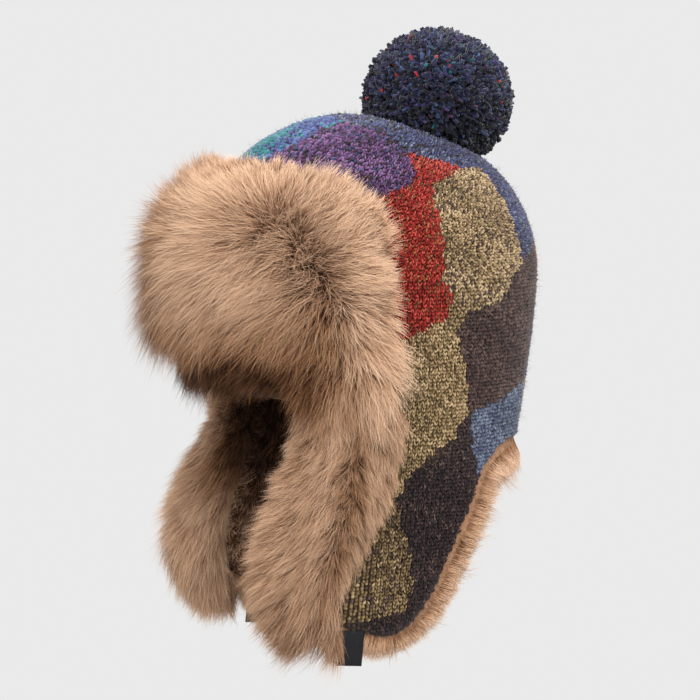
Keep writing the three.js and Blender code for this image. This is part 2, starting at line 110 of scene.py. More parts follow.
@dataclass
class CrownForm:
    """Outer face of the crown and its flaps, as a place for every bearing and height."""

    half_width: float = 90.0
    half_length: float = 110.0
    widest_z: float = 70.0
    rise: float = 98.5
    taper_span: float = 64.0
    taper_power: float = 1.4
    side_taper: float = 0.041
    end_taper: float = 0.065
    nape_z: float = -45.0
    round_z: float = -25.0
    flat_z: float = -110.0
    flap_half_length: float = 118.0
    gather_y: float = 47.0
    dent_y: float = 38.0
    dent_depth: float = 7.0
    dent_spread: float = 30.0
    brow_z: float = 12.0
    normal_step: float = 0.5

    def section(self, z: Array, front: Array) -> tuple[Array, Array, Array]:
        """Level section of the outer face.

        Args:
            z: Heights.
            front: Whether each place is in front of the ears.

        Returns:
            Half width, half length and power of the section at each height.
        """
        shrink = np.sqrt(np.maximum(0.0, 1.0 - ((z - self.widest_z) / self.rise) ** 2))
        fall = (np.maximum(0.0, self.widest_z - z) / self.taper_span) ** self.taper_power
        end_z = np.maximum(z, np.where(front, 0.0, self.nape_z))
        end_fall = (np.maximum(0.0, self.widest_z - end_z) / self.taper_span) ** self.taper_power
        length = self.half_length * (1.0 - self.end_taper * end_fall)
        flare = np.where(front, smooth(-z, 0.0, -self.flat_z), 0.0)
        above = z >= self.widest_z
        half_width = np.where(above, shrink, 1.0 - self.side_taper * fall) * self.half_width
        below_length = blend(length, self.flap_half_length, flare)
        half_length = np.where(above, self.half_length * shrink, below_length)
        power = 2.0 + 2.0 * np.where(above, 0.0, smooth(-z, -self.round_z, -self.flat_z))
        return half_width, half_length, power

    def wall(self, bearing: Array, z: Array) -> Array:
        """Points of the outer face at bearings and heights, before the dent.

        Args:
            bearing: Bearings.
            z: Heights.

        Returns:
            Points of the outer face.
        """
        bearing, z = np.broadcast_arrays(np.asarray(bearing, float), np.asarray(z, float))
        east = np.sin(np.radians(bearing))
        north = np.cos(np.radians(bearing))
        width, length, power = self.section(z, north < 0.0)
        level = np.abs(east / width) ** power + np.abs(north / length) ** power
        radius = level ** (-1.0 / power)
        return np.stack([radius * east, radius * north, z], axis=-1)

    def dome(self, bearing: Array, share: Array) -> Array:
        """Points between the gather under the pompom (share 0) and the widest ring (share 1).

        Args:
            bearing: Bearings on the widest ring.
            share: Shares of the way down.

        Returns:
            Points of the dome.
        """
        bearing, share = np.broadcast_arrays(np.asarray(bearing, float), np.asarray(share, float))
        tilt = self.gather_y / self.half_length
        gather = np.array([0.0, tilt, math.sqrt(1.0 - tilt * tilt)])
        ring = self.wall(bearing, np.full_like(bearing, self.widest_z))
        foot = ring / np.array([self.half_width, self.half_length, 1.0])
        foot[..., 2] = 0.0
        angle = np.arccos(np.clip(foot @ gather, -1.0, 1.0))
        near = (np.sin((1.0 - share) * angle) / np.sin(angle))[..., None]
        far = (np.sin(share * angle) / np.sin(angle))[..., None]
        ball = near * gather + far * foot
        scale = np.array([self.half_width, self.half_length, self.rise])
        return ball * scale + np.array([0.0, 0.0, self.widest_z])

    def normal(self, points: Array) -> Array:
        """Outward directions of the outer face at its points.

        Args:
            points: Points of the outer face.

        Returns:
            Directions one long.
        """
        scale = np.array([self.half_width, self.half_length, self.rise]) ** 2
        high = (points - np.array([0.0, 0.0, self.widest_z])) / scale

        def level(shift: Array) -> Array:
            """Level of the section's formula beside the points.

            Args:
                shift: Way from the points to the places that are read.

            Returns:
                The level at each place.
            """
            x, y, z = np.moveaxis(points + shift, -1, 0)
            width, length, power = self.section(z, y < 0.0)
            return np.abs(x / width) ** power + np.abs(y / length) ** power

        steps = np.eye(3) * self.normal_step
        low = np.stack([level(step) - level(-step) for step in steps], axis=-1)
        above = points[..., 2:3] >= self.widest_z
        return unit(np.where(above, unit(high), unit(low)))

    def dent(self, points: Array) -> Array:
        """How far the pompom's weight lowers the dome at each point.

        Args:
            points: Points of the outer face.

        Returns:
            Depths of the dent.
        """
        square = points[..., 0] ** 2 + (points[..., 1] - self.dent_y) ** 2
        depth = self.dent_depth * np.exp(-square / (2.0 * self.dent_spread**2))
        return np.where(points[..., 2] > self.widest_z, depth, 0.0)

    def offset(self, points: Array, distance: Array) -> Array:
        """Moves points of the outer face along their normals, then lets the dent lower them.

        Args:
            points: Points of the outer face.
            distance: How far outwards they go.

        Returns:
            The moved points.
        """
        distance = np.broadcast_to(distance, points.shape[:-1])
        moved = points + self.normal(points) * distance[..., None]
        moved[..., 2] -= self.dent(points)
        return moved

    def top_height(self, x: Array, y: Array) -> Array:
        """Height of the dome over places in plan.

        Args:
            x: Places from side to side.
            y: Places from front to rear.

        Returns:
            Heights of the dome, with its dent.
        """
        inside = 1.0 - (x / self.half_width) ** 2 - (y / self.half_length) ** 2
        height = self.widest_z + self.rise * np.sqrt(np.maximum(0.0, inside))
        return height - self.dent(np.stack([x, y, height], axis=-1))


@dataclass
class KnitEdge:
    """Lower edge of the knit from nape to brow, the same on both sides.

    Each row is the bearing where a column of stitches crosses the brow ring, and the bearing and
    height where it ends.
    """

    form: CrownForm
    rows: tuple[tuple[float, float, float], ...] = (
        *((0.0, 0.0, -31.0), (22.0, 23.0, -31.0), (39.0, 42.0, -32.0), (49.0, 54.5, -39.0)),
        *((56.0, 62.0, -51.0), (63.0, 67.5, -71.0), (71.0, 74.5, -96.0), (79.0, 82.0, -121.0)),
        *((87.0, 92.0, -138.0), (95.0, 103.0, -144.0), (103.0, 113.0, -141.0), (109.0, 124.0, -134.5)),
        *((114.0, 133.5, -123.0), (118.0, 138.0, -106.0), (121.0, 137.0, -88.0), (124.5, 135.0, -70.0)),
        *((128.0, 132.0, -42.0), (131.5, 130.5, -7.0), (147.0, 147.0, 0.0), (180.0, 180.0, 2.0)),
    )
    tip_row: int = 9
    temple_row: int = 17
    samples: int = 60
    tangent_step: float = 0.01
    curve: Array = field(init=False)
    along: Array = field(init=False)

    def __post_init__(self) -> None:
        """Samples the smooth line through the rows and its length."""
        points = np.array(self.rows)
        ends = [2.0 * points[0] - points[1], *points, 2.0 * points[-1] - points[-2]]
        pieces = []
        for i in range(len(points) - 1):
            pieces.append(self._span(ends[i : i + 4]))
        self.curve = np.concatenate([*pieces, points[-1:]])
        lengths = np.linalg.norm(np.diff(self.curve, axis=0), axis=1)
        self.along = np.concatenate([[0.0], np.cumsum(lengths)]) / lengths.sum()

    def _span(self, four: list[Array]) -> Array:
        """Centripetal curve between the second and third of four points.

        Args:
            four: Neighbouring points.

        Returns:
            Samples from the second point up to the third.
        """
        before, start, end, after = four
        gaps = [np.linalg.norm(b - a) ** 0.5 for a, b in zip(four, four[1:])]
        first = (start - before) / gaps[0] - (end - before) / (gaps[0] + gaps[1])
        first = (first + (end - start) / gaps[1]) * gaps[1]
        last = (end - start) / gaps[1] - (after - start) / (gaps[1] + gaps[2])
        last = (last + (after - end) / gaps[2]) * gaps[1]
        t = np.linspace(0.0, 1.0, self.samples, endpoint=False)[:, None]
        cubic = 2.0 * (start - end) + first + last
        square = 3.0 * (end - start) - 2.0 * first - last
        return cubic * t**3 + square * t**2 + first * t + start

    def station(self, share: Array) -> Array:
        """Ring bearing, bearing and height at signed shares of the edge, negative on the right.

        Args:
            share: Signed shares.

        Returns:
            Three numbers for each share.
        """
        size = np.abs(share)
        columns = [np.interp(size, self.along, self.curve[:, k]) for k in range(3)]
        sign = np.where(share < 0.0, -1.0, 1.0)
        return np.stack([columns[0] * sign, columns[1] * sign, columns[2]], axis=-1)

    def below_ring(self, ring_bearing: Array) -> Array:
        """Bearing and height where the columns of stitches at signed ring bearings end.

        Args:
            ring_bearing: Signed bearings on the brow ring.

        Returns:
            Two numbers for each bearing.
        """
        size = np.abs(ring_bearing)
        bearing = np.interp(size, self.curve[:, 0], self.curve[:, 1])
        z = np.interp(size, self.curve[:, 0], self.curve[:, 2])
        return np.stack([np.where(ring_bearing < 0.0, -bearing, bearing), z], axis=-1)

    def outward(self, share: Array) -> Array:
        """Directions away from the knit across its edge at signed shares of the edge.

        Args:
            share: Signed shares.

        Returns:
            Directions one long.
        """
        sign = np.where(share < 0.0, -1.0, 1.0)
        size = np.abs(share)
        ends = []
        for step in (-self.tangent_step, self.tangent_step):
            place = self.station(sign * np.clip(size + step, 0.0, 1.0))
            ends.append(self.form.wall(place[..., 1], place[..., 2]))
        here = self.station(share)
        normal = self.form.normal(self.form.wall(here[..., 1], here[..., 2]))
        return np.cross(normal, unit(ends[1] - ends[0])) * sign[..., None]

    def front_bearing(self, z: Array) -> Array:
        """Bearings of the left flap's front edge at heights.

        Args:
            z: Heights.

        Returns:
            Bearings of the edge.
        """
        start = self.tip_row * self.samples
        end = self.temple_row * self.samples + 1
        stretch = self.curve[start:end]
        return np.interp(z, stretch[:, 2], stretch[:, 1])


class Wire:
    """Output of a node that takes part in arithmetic; each operator adds a Math node."""

    def __init__(self, graph: "Graph", socket: bpy.types.NodeSocket) -> None:
        """Keeps the graph and the socket."""
        self.graph = graph
        self.socket = socket

    def __add__(self, other: "Wire | float") -> "Wire":
        """Sum of two values."""
        return self.graph.maths("ADD", self, other)

    def __radd__(self, other: float) -> "Wire":
        """Sum with the number first."""
        return self.graph.maths("ADD", other, self)

    def __sub__(self, other: "Wire | float") -> "Wire":
        """Difference of two values."""
        return self.graph.maths("SUBTRACT", self, other)

    def __rsub__(self, other: float) -> "Wire":
        """Difference with the number first."""
        return self.graph.maths("SUBTRACT", other, self)

    def __mul__(self, other: "Wire | float") -> "Wire":
        """Product of two values."""
        return self.graph.maths("MULTIPLY", self, other)

    def __rmul__(self, other: float) -> "Wire":
        """Product with the number first."""
        return self.graph.maths("MULTIPLY", other, self)

    def __rtruediv__(self, other: float) -> "Wire":
        """Quotient with the number first."""
        return self.graph.maths("DIVIDE", other, self)

    def __pow__(self, other: "Wire | float") -> "Wire":
        """Power of a value."""
        return self.graph.maths("POWER", self, other)


class Graph:
    """Node tree with one method that makes any node."""

    def __init__(self, tree: NodeTree) -> None:
        """Keeps the tree."""
        self.tree = tree

    def node(self, kind: str, settings: dict | None = None, sockets: dict | None = None) -> bpy.types.Node:
        """Makes a node.

        Args:
            kind: Type of the node.
            settings: Properties to set first; stops is a list of places and colours of a ramp.
            sockets: Values or wires by socket index, identifier or name.

        Returns:
            The node.
        """
        made = self.tree.nodes.new(kind)
        for name, value in (settings or {}).items():
            if name == "stops":
                self._fill_ramp(made.color_ramp, value)
            else:
                setattr(made, name, value)
        for key, value in (sockets or {}).items():
            target = self.socket(made.inputs, key)
            if isinstance(value, Wire):
                self.tree.links.new(value.socket, target)
            else:
                target.default_value = value
        return made

    @staticmethod
    def socket(sockets: bpy.types.bpy_prop_collection, key: int | str) -> bpy.types.NodeSocket:
        """Finds a socket by index, identifier or name.

        Args:
            sockets: Inputs or outputs of a node.
            key: Index, identifier or name.

        Returns:
            The socket.
        """
        if isinstance(key, int):
            return sockets[key]
        for found in sockets:
            if found.identifier == key:
                return found
        return sockets[key]

    @staticmethod
    def _fill_ramp(ramp: bpy.types.ColorRamp, stops: list[tuple[float, tuple[float, ...]]]) -> None:
        """Gives a ramp its stops, each a place and a colour."""
        while len(ramp.elements) < len(stops):
            ramp.elements.new(1.0)
        for element, (place, colour) in zip(ramp.elements, stops):
            element.position = place
            element.color = (*colour, 1.0)

    def wire(
        self, kind: str, output: int | str, settings: dict | None = None, sockets: dict | None = None
    ) -> Wire:
        """Makes a node and returns one of its outputs."""
        made = self.node(kind, settings, sockets)
        return Wire(self, self.socket(made.outputs, output))

    def feed(self, node: bpy.types.Node, name: str, wire: Wire) -> None:
        """Links a wire to an input of a node."""
        self.tree.links.new(wire.socket, node.inputs[name])

    def maths(self, operation: str, *values: Wire | float) -> Wire:
        """Adds a Math node on values."""
        return self.wire("ShaderNodeMath", 0, {"operation": operation}, dict(enumerate(values)))

    def vectors(self, operation: str, *values: Wire | tuple[float, float, float]) -> Wire:
        """Adds a Vector Math node on vectors."""
        return self.wire("ShaderNodeVectorMath", 0, {"operation": operation}, dict(enumerate(values)))

    def scaled(self, vector: Wire, factor: Wire | float) -> Wire:
        """Vector times a number."""
        return self.wire("ShaderNodeVectorMath", 0, {"operation": "SCALE"}, {0: vector, "Scale": factor})

    def length(self, vector: Wire) -> Wire:
        """Length of a vector."""
        return self.wire("ShaderNodeVectorMath", "Value", {"operation": "LENGTH"}, {0: vector})

    def vector(self, x: Wire | float, y: Wire | float, z: Wire | float = 0.0) -> Wire:
        """Vector of three values."""
        return self.wire("ShaderNodeCombineXYZ", 0, None, {0: x, 1: y, 2: z})

    def parts(self, vector: Wire) -> list[Wire]:
        """The three values of a vector."""
        made = self.node("ShaderNodeSeparateXYZ", None, {0: vector})
        return [Wire(self, output) for output in made.outputs]

    def spread(self, value: Wire, low: float, high: float, start: float = 0.0, end: float = 1.0) -> Wire:
        """Carries a value from the range low to high over to start to end, held at its ends."""
        return self.wire("ShaderNodeMapRange", 0, None, {0: value, 1: low, 2: high, 3: start, 4: end})

    def ramp(self, place: Wire, stops: Stops, stepped: bool = False) -> Wire:
        """Colours by place; a stepped ramp holds each of them up to the next one.

        Args:
            place: Place along the ramp.
            stops: Place and colour of each stop.
            stepped: Whether colours stay flat between stops.

        Returns:
            The colour.
        """
        painted = [(at, paint(*colour)) for at, colour in stops]
        made = self.node("ShaderNodeValToRGB", {"stops": painted}, {"Fac": place})
        made.color_ramp.interpolation = "CONSTANT" if stepped else "LINEAR"
        return Wire(self, made.outputs["Color"])

    def mixed(self, factor: Wire, first: Wire | tuple, second: Wire | tuple) -> Wire:
        """Mix of two colours; a colour is a wire or three numbers.

        Args:
            factor: Share of the second colour.
            first: Colour where the factor is 0.
            second: Colour where the factor is 1.

        Returns:
            The mixed colour.
        """
        colours = [c if isinstance(c, Wire) else (*c, 1.0) for c in (first, second)]
        sockets = {"Factor_Float": factor, "A_Color": colours[0], "B_Color": colours[1]}
        return self.wire("ShaderNodeMix", "Result_Color", {"data_type": "RGBA"}, sockets)

    def noise(self, place: Wire, scale: float, detail: float = 2.0, roughness: float = 0.5) -> Wire:
        """Grey noise in space."""
        sockets = {"Vector": place, "Scale": scale, "Detail": detail, "Roughness": roughness}
        return self.wire("ShaderNodeTexNoise", "Fac", {"noise_dimensions": "3D"}, sockets)

    def attribute(self, name: str, kind: str = "FLOAT") -> Wire:
        """Reads a named attribute."""
        return self.wire("GeometryNodeInputNamedAttribute", 0, {"data_type": kind}, {"Name": name})

    def kept(
        self, geometry: Wire, name: str, value: Wire, kind: str = "FLOAT", domain: str = "POINT"
    ) -> Wire:
        """Stores a named attribute on a geometry.

        Args:
            geometry: Geometry that carries it.
            name: Name of the attribute.
            value: Its value.
            kind: Its data type.
            domain: Its domain.

        Returns:
            The geometry with the attribute.
        """
        sockets = {0: geometry, "Name": name, "Value": value}
        settings = {"data_type": kind, "domain": domain}
        return self.wire("GeometryNodeStoreNamedAttribute", 0, settings, sockets)

    def chance(self, low: float, high: float, seed: Wire) -> Wire:
        """Random number for each point."""
        sockets = {"Min_001": low, "Max_001": high, "Seed": seed}
        return self.wire("FunctionNodeRandomValue", "Value_001", {"data_type": "FLOAT"}, sockets)

    def end(self, geometry: Wire, material: Wire) -> NodeTree:
        """Gives the geometry its material and ends the tree with it.

        Args:
            geometry: Finished geometry.
            material: Its material.

        Returns:
            The tree.
        """
        dressed = self.wire("GeometryNodeSetMaterial", 0, None, {0: geometry, "Material": material})
        self.node("NodeGroupOutput", None, {0: dressed})
        return self.tree


def new_tree(name: str, inputs: dict[str, str]) -> tuple[Graph, dict[str, Wire]]:
    """Starts a Geometry Nodes tree that takes a geometry, its own inputs, a seed and a material.

    Args:
        name: Name of the tree.
        inputs: Kind of each of its own inputs, by name.

    Returns:
        The graph of the tree, and all inputs as wires by name.
    """
    tree = bpy.data.node_groups.new(name, "GeometryNodeTree")
    given = {"Geometry": "Geometry", **inputs, "Seed": "Int", "Material": "Material"}
    for label, kind in given.items():
        tree.interface.new_socket(label, in_out="INPUT", socket_type=f"NodeSocket{kind}")
    tree.interface.new_socket("Geometry", in_out="OUTPUT", socket_type="NodeSocketGeometry")
    graph = Graph(tree)
    outputs = graph.node("NodeGroupInput").outputs
    return graph, {output.name: Wire(graph, output) for output in outputs if output.name}


def paint(red: int, green: int, blue: int) -> tuple[float, float, float]:
    """Turns a colour of 0 to 255 as a screen shows it into a scene colour."""
    return tuple(((c / 255.0 + 0.055) / 1.055) ** 2.4 if c > 10 else c / 3294.6 for c in (red, green, blue))


@dataclass(frozen=True)
class Finish:
    """Gloss and sheen of a cloth; each kind of cloth adds its colours."""

    name: str
    roughness: float
    specular: float
    sheen: float

    def build(self) -> Material:
        """Makes the material.

        Returns:
            The material.
        """
        material = bpy.data.materials.new(self.name)
        material.use_nodes = True
        shader = material.node_tree.nodes["Principled BSDF"]
        shader.inputs["Roughness"].default_value = self.roughness
        shader.inputs["Specular IOR Level"].default_value = self.specular
        shader.inputs["Sheen Weight"].default_value = self.sheen
        self.dress(Graph(material.node_tree), shader)
        return material

    def dress(self, graph: Graph, shader: bpy.types.Node) -> None:
        """Adds what varies over the cloth."""
        raise NotImplementedError

    @staticmethod
    def palette(graph: Graph) -> tuple[Wire, Wire]:
        """Place in the palette map: its column and its row.

        Args:
            graph: Graph of the material.

        Returns:
            Column and row of the palette.
        """
        place = graph.wire("ShaderNodeUVMap", 0, {"uv_map": PALETTE_UV})
        column, row, _ = graph.parts(place)
        return column, row


@dataclass(frozen=True)
class FurFinish(Finish):
    """Faux fur: the palette runs from painted-shade hair through dark to light hair across, and from root to
    tip upwards; every ramp is darker at the root, the fur's own darker roots together with painted shade
    deep in the pile.
    """

    name: str = "faux_fur"
    roughness: float = 0.66
    specular: float = 0.12
    sheen: float = 0.06
    # The first ramp is painted shade: near-black hair for fur that lies in deep shadow.
    painted_shade_hair: Stops = ((0.0, (24, 12, 8)), (0.4, (40, 22, 14)), (1.0, (76, 47, 31)))
    dark_hair: Stops = ((0.0, (42, 19, 8)), (0.4, (100, 60, 33)), (1.0, (168, 120, 80)))
    light_hair: Stops = ((0.0, (146, 104, 74)), (0.35, (208, 165, 130)), (1.0, (253, 221, 190)))
    dark_place: float = 0.25

    def dress(self, graph: Graph, shader: bpy.types.Node) -> None:
        """Blends the three ramps of the hair by its tone; the lowest tones give the painted-shade hair.

        Args:
            graph: Graph of the material.
            shader: Surface shader of the material.
        """
        tone, along = self.palette(graph)
        painted_shade, dark, light = (graph.ramp(along, s) for s in (self.painted_shade_hair, self.dark_hair, self.light_hair))
        low = graph.spread(tone, 0.0, self.dark_place)
        high = graph.spread(tone, self.dark_place, 1.0)
        graph.feed(shader, "Base Color", graph.mixed(high, graph.mixed(low, painted_shade, dark), light))


class Yarn(Enum):
    """Colours of the patches: main heather, its dark and light plies and its fleck; the dark and light plies
    also serve as painted shade and painted highlight on the stitches and the ground.
    """

    NAVY = ((56, 58, 90), (20, 22, 38), (92, 96, 132), (80, 66, 104))
    BLUE = ((76, 92, 142), (46, 44, 92), (112, 124, 168), (96, 72, 130))
    TEAL = ((44, 118, 122), (18, 76, 84), (96, 156, 160), (62, 96, 140))
    PURPLE = ((96, 65, 104), (54, 30, 60), (142, 110, 150), (74, 60, 120))
    RED = ((150, 36, 28), (70, 8, 6), (202, 96, 80), (200, 60, 34))
    BEIGE = ((154, 129, 94), (68, 54, 34), (212, 188, 152), (98, 98, 106))
    BROWN = ((76, 58, 54), (36, 25, 27), (116, 94, 84), (66, 62, 92))
    OLIVE = ((152, 127, 90), (70, 55, 34), (206, 180, 140), (104, 98, 90))
    DENIM = ((86, 95, 114), (44, 48, 62), (134, 144, 162), (100, 94, 108))
    DARK = ((50, 38, 38), (24, 17, 19), (78, 64, 60), (58, 46, 66))
    GOLD = ((113, 92, 61), (44, 33, 21), (164, 140, 103), (92, 84, 88))
    RUST = ((138, 78, 46), (74, 38, 24), (182, 122, 82), (120, 60, 60))
    FOREST = ((58, 84, 72), (28, 42, 38), (98, 124, 104), (84, 96, 60))

    @property
    def index(self) -> int:
        """Place of the colour in the palette."""
        return list(Yarn).index(self)


@dataclass(frozen=True)
class KnitFinish(Finish):
    """Heathered knit: the palette's columns are patch colours, its rows are the yarn's plies, low rows also
    painted shade and high rows painted highlight.
    """

    name: str = "patchwork_knit"
    roughness: float = 0.88
    specular: float = 0.15
    sheen: float = 0.25
    dark_plies: tuple[float, float] = (0.0, 0.4)
    light_plies: tuple[float, float] = (0.5, 0.9)
    fleck_plies: float = 0.93

    def dress(self, graph: Graph, shader: bpy.types.Node) -> None:
        """Blends the plies of each patch colour.

        Args:
            graph: Graph of the material.
            shader: Surface shader of the material.
        """
        column, ply = self.palette(graph)
        plies = []
        for kind in range(4):
            stops = tuple((yarn.index / len(Yarn), yarn.value[kind]) for yarn in Yarn)
            plies.append(graph.ramp(column, stops, stepped=True))
        main, dark, light, fleck = plies
        colour = graph.mixed(graph.spread(ply, *self.dark_plies), dark, main)
        colour = graph.mixed(graph.spread(ply, *self.light_plies), colour, light)
        colour = graph.mixed(graph.maths("GREATER_THAN", ply, self.fleck_plies), colour, fleck)
        graph.feed(shader, "Base Color", colour)


@dataclass(frozen=True)
class PompomFinish(Finish):
    """Mixed navy yarn with bright flecks; the palette's columns are yarn colours, its rows darken the yarn
    with painted shade towards the root.
    """

    name: str = "pompom_yarn"
    roughness: float = 0.85
    specular: float = 0.2
    sheen: float = 0.2
    bands: Stops = (
        *((0.0, (25, 29, 52)), (0.24, (40, 43, 80)), (0.44, (30, 42, 76)), (0.58, (64, 52, 98))),
        *((0.72, (54, 74, 116)), (0.82, (17, 18, 34)), (0.92, (84, 36, 84)), (0.955, (26, 98, 106))),
        *((0.972, (170, 36, 36)), (0.98, (90, 130, 172))),
    )
    shade: Colour = (8, 8, 16)
    shaded: tuple[float, float] = (0.1, 0.95)

    def dress(self, graph: Graph, shader: bpy.types.Node) -> None:
        """Takes the yarn's colour and darkens it towards its root with painted shade.

        Args:
            graph: Graph of the material.
            shader: Surface shader of the material.
        """
        column, along = self.palette(graph)
        colour = graph.ramp(column, self.bands, stepped=True)
        shown = graph.spread(along, *self.shaded)
        graph.feed(shader, "Base Color", graph.mixed(shown, paint(*self.shade), colour))


@dataclass(frozen=True)
class FleeceFinish(Finish):
    """Brown brushed fleece with small nubs."""

    name: str = "fleece"
    roughness: float = 0.95
    specular: float = 0.1
    sheen: float = 0.3
    dark: Colour = (38, 24, 18)
    light: Colour = (92, 64, 50)
    nub_scale: float = 420.0
    patch_scale: float = 40.0
    nub_share: float = 0.7
    contrast: tuple[float, float] = (0.35, 0.65)
    bump_depth: float = 0.0012

    def dress(self, graph: Graph, shader: bpy.types.Node) -> None:
        """Mottles the fleece and raises its nubs.

        Args:
            graph: Graph of the material.
            shader: Surface shader of the material.
        """
        place = graph.wire("ShaderNodeTexCoord", "Object")
        nubs = graph.noise(place, self.nub_scale, 3.0, 0.6)
        mask = nubs * self.nub_share + graph.noise(place, self.patch_scale) * (1.0 - self.nub_share)
        share = graph.spread(mask, *self.contrast)
        graph.feed(shader, "Base Color", graph.mixed(share, paint(*self.dark), paint(*self.light)))
        bump = graph.wire("ShaderNodeBump", 0, None, {"Distance": self.bump_depth, "Height": nubs})
        graph.feed(shader, "Normal", bump)


@dataclass(frozen=True)
class WovenFinish(Finish):
    """Black satin-faced woven tape with fine ribs."""

    name: str = "woven_tape"
    roughness: float = 0.55
    specular: float = 0.25
    sheen: float = 0.0
    rib: float = 9000.0
    weft_share: float = 0.6
    dark: Colour = (10, 10, 12)
    light: Colour = (34, 35, 40)
    wear_scale: float = 160.0
    wear: tuple[float, float] = (0.3, 0.7)
    gloss: tuple[float, float] = (0.5, 0.65)
    bump_depth: float = 0.00012

    def dress(self, graph: Graph, shader: bpy.types.Node) -> None:
        """Weaves the tape's ribs and wears its gloss unevenly.

        Args:
            graph: Graph of the material.
            shader: Surface shader of the material.
        """
        place = graph.wire("ShaderNodeTexCoord", "Object")
        _, y, z = graph.parts(place)
        ribs = graph.maths("SINE", z * self.rib) * graph.maths("SINE", y * (self.rib * self.weft_share))
        weave = ribs * 0.5 + 0.5
        wear = graph.noise(place, self.wear_scale)
        graph.feed(shader, "Base Color", graph.mixed(weave * wear, paint(*self.dark), paint(*self.light)))
        bump = graph.wire("ShaderNodeBump", 0, None, {"Distance": self.bump_depth, "Height": weave})
        graph.feed(shader, "Normal", bump)
        graph.feed(shader, "Roughness", graph.spread(wear, *self.wear, *self.gloss))


def spans(first: tuple[float, float, int], second: tuple[float, float, int]) -> list[Array]:
    """Two values over a grid, each given by its start, its end and its number of places."""
    return np.meshgrid(np.linspace(*first), np.linspace(*second), indexing="ij")


def grid_quads(columns: int, rows: int) -> Array:
    """Faces of a grid whose points are stored column by column.

    Args:
        columns: Number of columns.
        rows: Points in each column.

    Returns:
        Four point numbers for each face.
    """
    i, j = np.meshgrid(np.arange(columns - 1), np.arange(rows - 1), indexing="ij")
    here = (i * rows + j).ravel()
    return np.stack([here, here + rows, here + rows + 1, here + 1], axis=-1)


def slab_faces(columns: int, rows: int) -> Array:
    """Faces of a closed slab whose points are a front grid and then the same grid behind it.

    Args:
        columns: Number of columns of each grid.
        rows: Points in each column.

    Returns:
        Four point numbers for each face.
    """
    count = columns * rows
    line = [*range(0, count, rows), *range(count - rows + 1, count)]
    line += [*range(count - rows - 1, rows - 2, -rows), *range(rows - 2, 0, -1)]
    ring = np.array(line)
    after = np.roll(ring, -1)
    walls = np.stack([after, ring, ring + count, after + count], axis=-1)
    front = grid_quads(columns, rows)
    return np.concatenate([front, front[:, ::-1] + count, walls])


def grid_area(grid: Array) -> float:
    """Area of a grid of points in square metres.

    Args:
        grid: Points by column and row, in millimetres.

    Returns:
        The area.
    """
    side = np.diff(grid, axis=0)[:, :-1]
    down = np.diff(grid, axis=1)[:-1]
    return float(np.linalg.norm(np.cross(side, down), axis=-1).sum()) * MM * MM


def turned_out(points: Array, faces: Array) -> Array:
    """Turns the faces of a closed mesh so that they point outwards.

    Args:
        points: Points of the mesh.
        faces: Four point numbers for each face.

    Returns:
        The faces, all turned round where they pointed inwards.
    """
    corners = points[faces]
    first = np.einsum("ij,ij->i", corners[:, 0], np.cross(corners[:, 1], corners[:, 2]))
    second = np.einsum("ij,ij->i", corners[:, 0], np.cross(corners[:, 2], corners[:, 3]))
    return faces if (first + second).sum() > 0.0 else faces[:, ::-1]


def mesh_object(name: str, points: Array, faces: list | Array) -> Piece:
    """Makes a smooth mesh object from points in millimetres.

    Args:
        name: Name of the object and its mesh.
        points: Points, three numbers each.
        faces: Point numbers of each face.

    Returns:
        The object, at the origin.
    """
    mesh = bpy.data.meshes.new(name)
    corners = faces.tolist() if isinstance(faces, Array) else faces
    mesh.from_pydata((np.asarray(points) * MM).tolist(), [], corners)
    mesh.polygons.foreach_set("use_smooth", [True] * len(mesh.polygons))
    mesh.update()
    made = bpy.data.objects.new(name, mesh)
    bpy.context.scene.collection.objects.link(made)
    return made


def store(mesh: Mesh, name: str, values: Array, domain: str = "POINT") -> None:
    """Stores numbers or vectors on the points or faces of a mesh.

    Args:
        mesh: Mesh that carries them.
        name: Name of the attribute.
        values: A number or a vector for each element.
        domain: POINT or FACE.
    """
    values = np.asarray(values, np.float32)
    kind = "FLOAT_VECTOR" if values.ndim == 2 else "FLOAT"
    attribute = mesh.attributes.new(name, kind, domain)
    attribute.data.foreach_set("vector" if values.ndim == 2 else "value", values.ravel())


def map_faces(mesh: Mesh, centres: Array, reach: float) -> None:
    """Gives each face of a mesh a small square of the palette map.

    Args:
        mesh: Mesh of four-sided and three-sided faces.
        centres: Place in the palette for each face.
        reach: Half the side of the square.
    """
    layer = mesh.uv_layers.new(name=PALETTE_UV)
    corners = np.array([(-1.0, -1.0), (1.0, -1.0), (1.0, 1.0), (-1.0, 1.0)]) * reach
    starts = np.zeros(len(mesh.polygons), np.int64)
    totals = np.zeros(len(mesh.polygons), np.int64)
    mesh.polygons.foreach_get("loop_start", starts)
    mesh.polygons.foreach_get("loop_total", totals)
    values = np.zeros((len(mesh.loops), 2), np.float32)
    for corner in range(4):
        has = totals > corner
        values[starts[has] + corner] = centres[has] + corners[corner]
    layer.data.foreach_set("uv", np.clip(values, 0.001, 0.999).ravel())


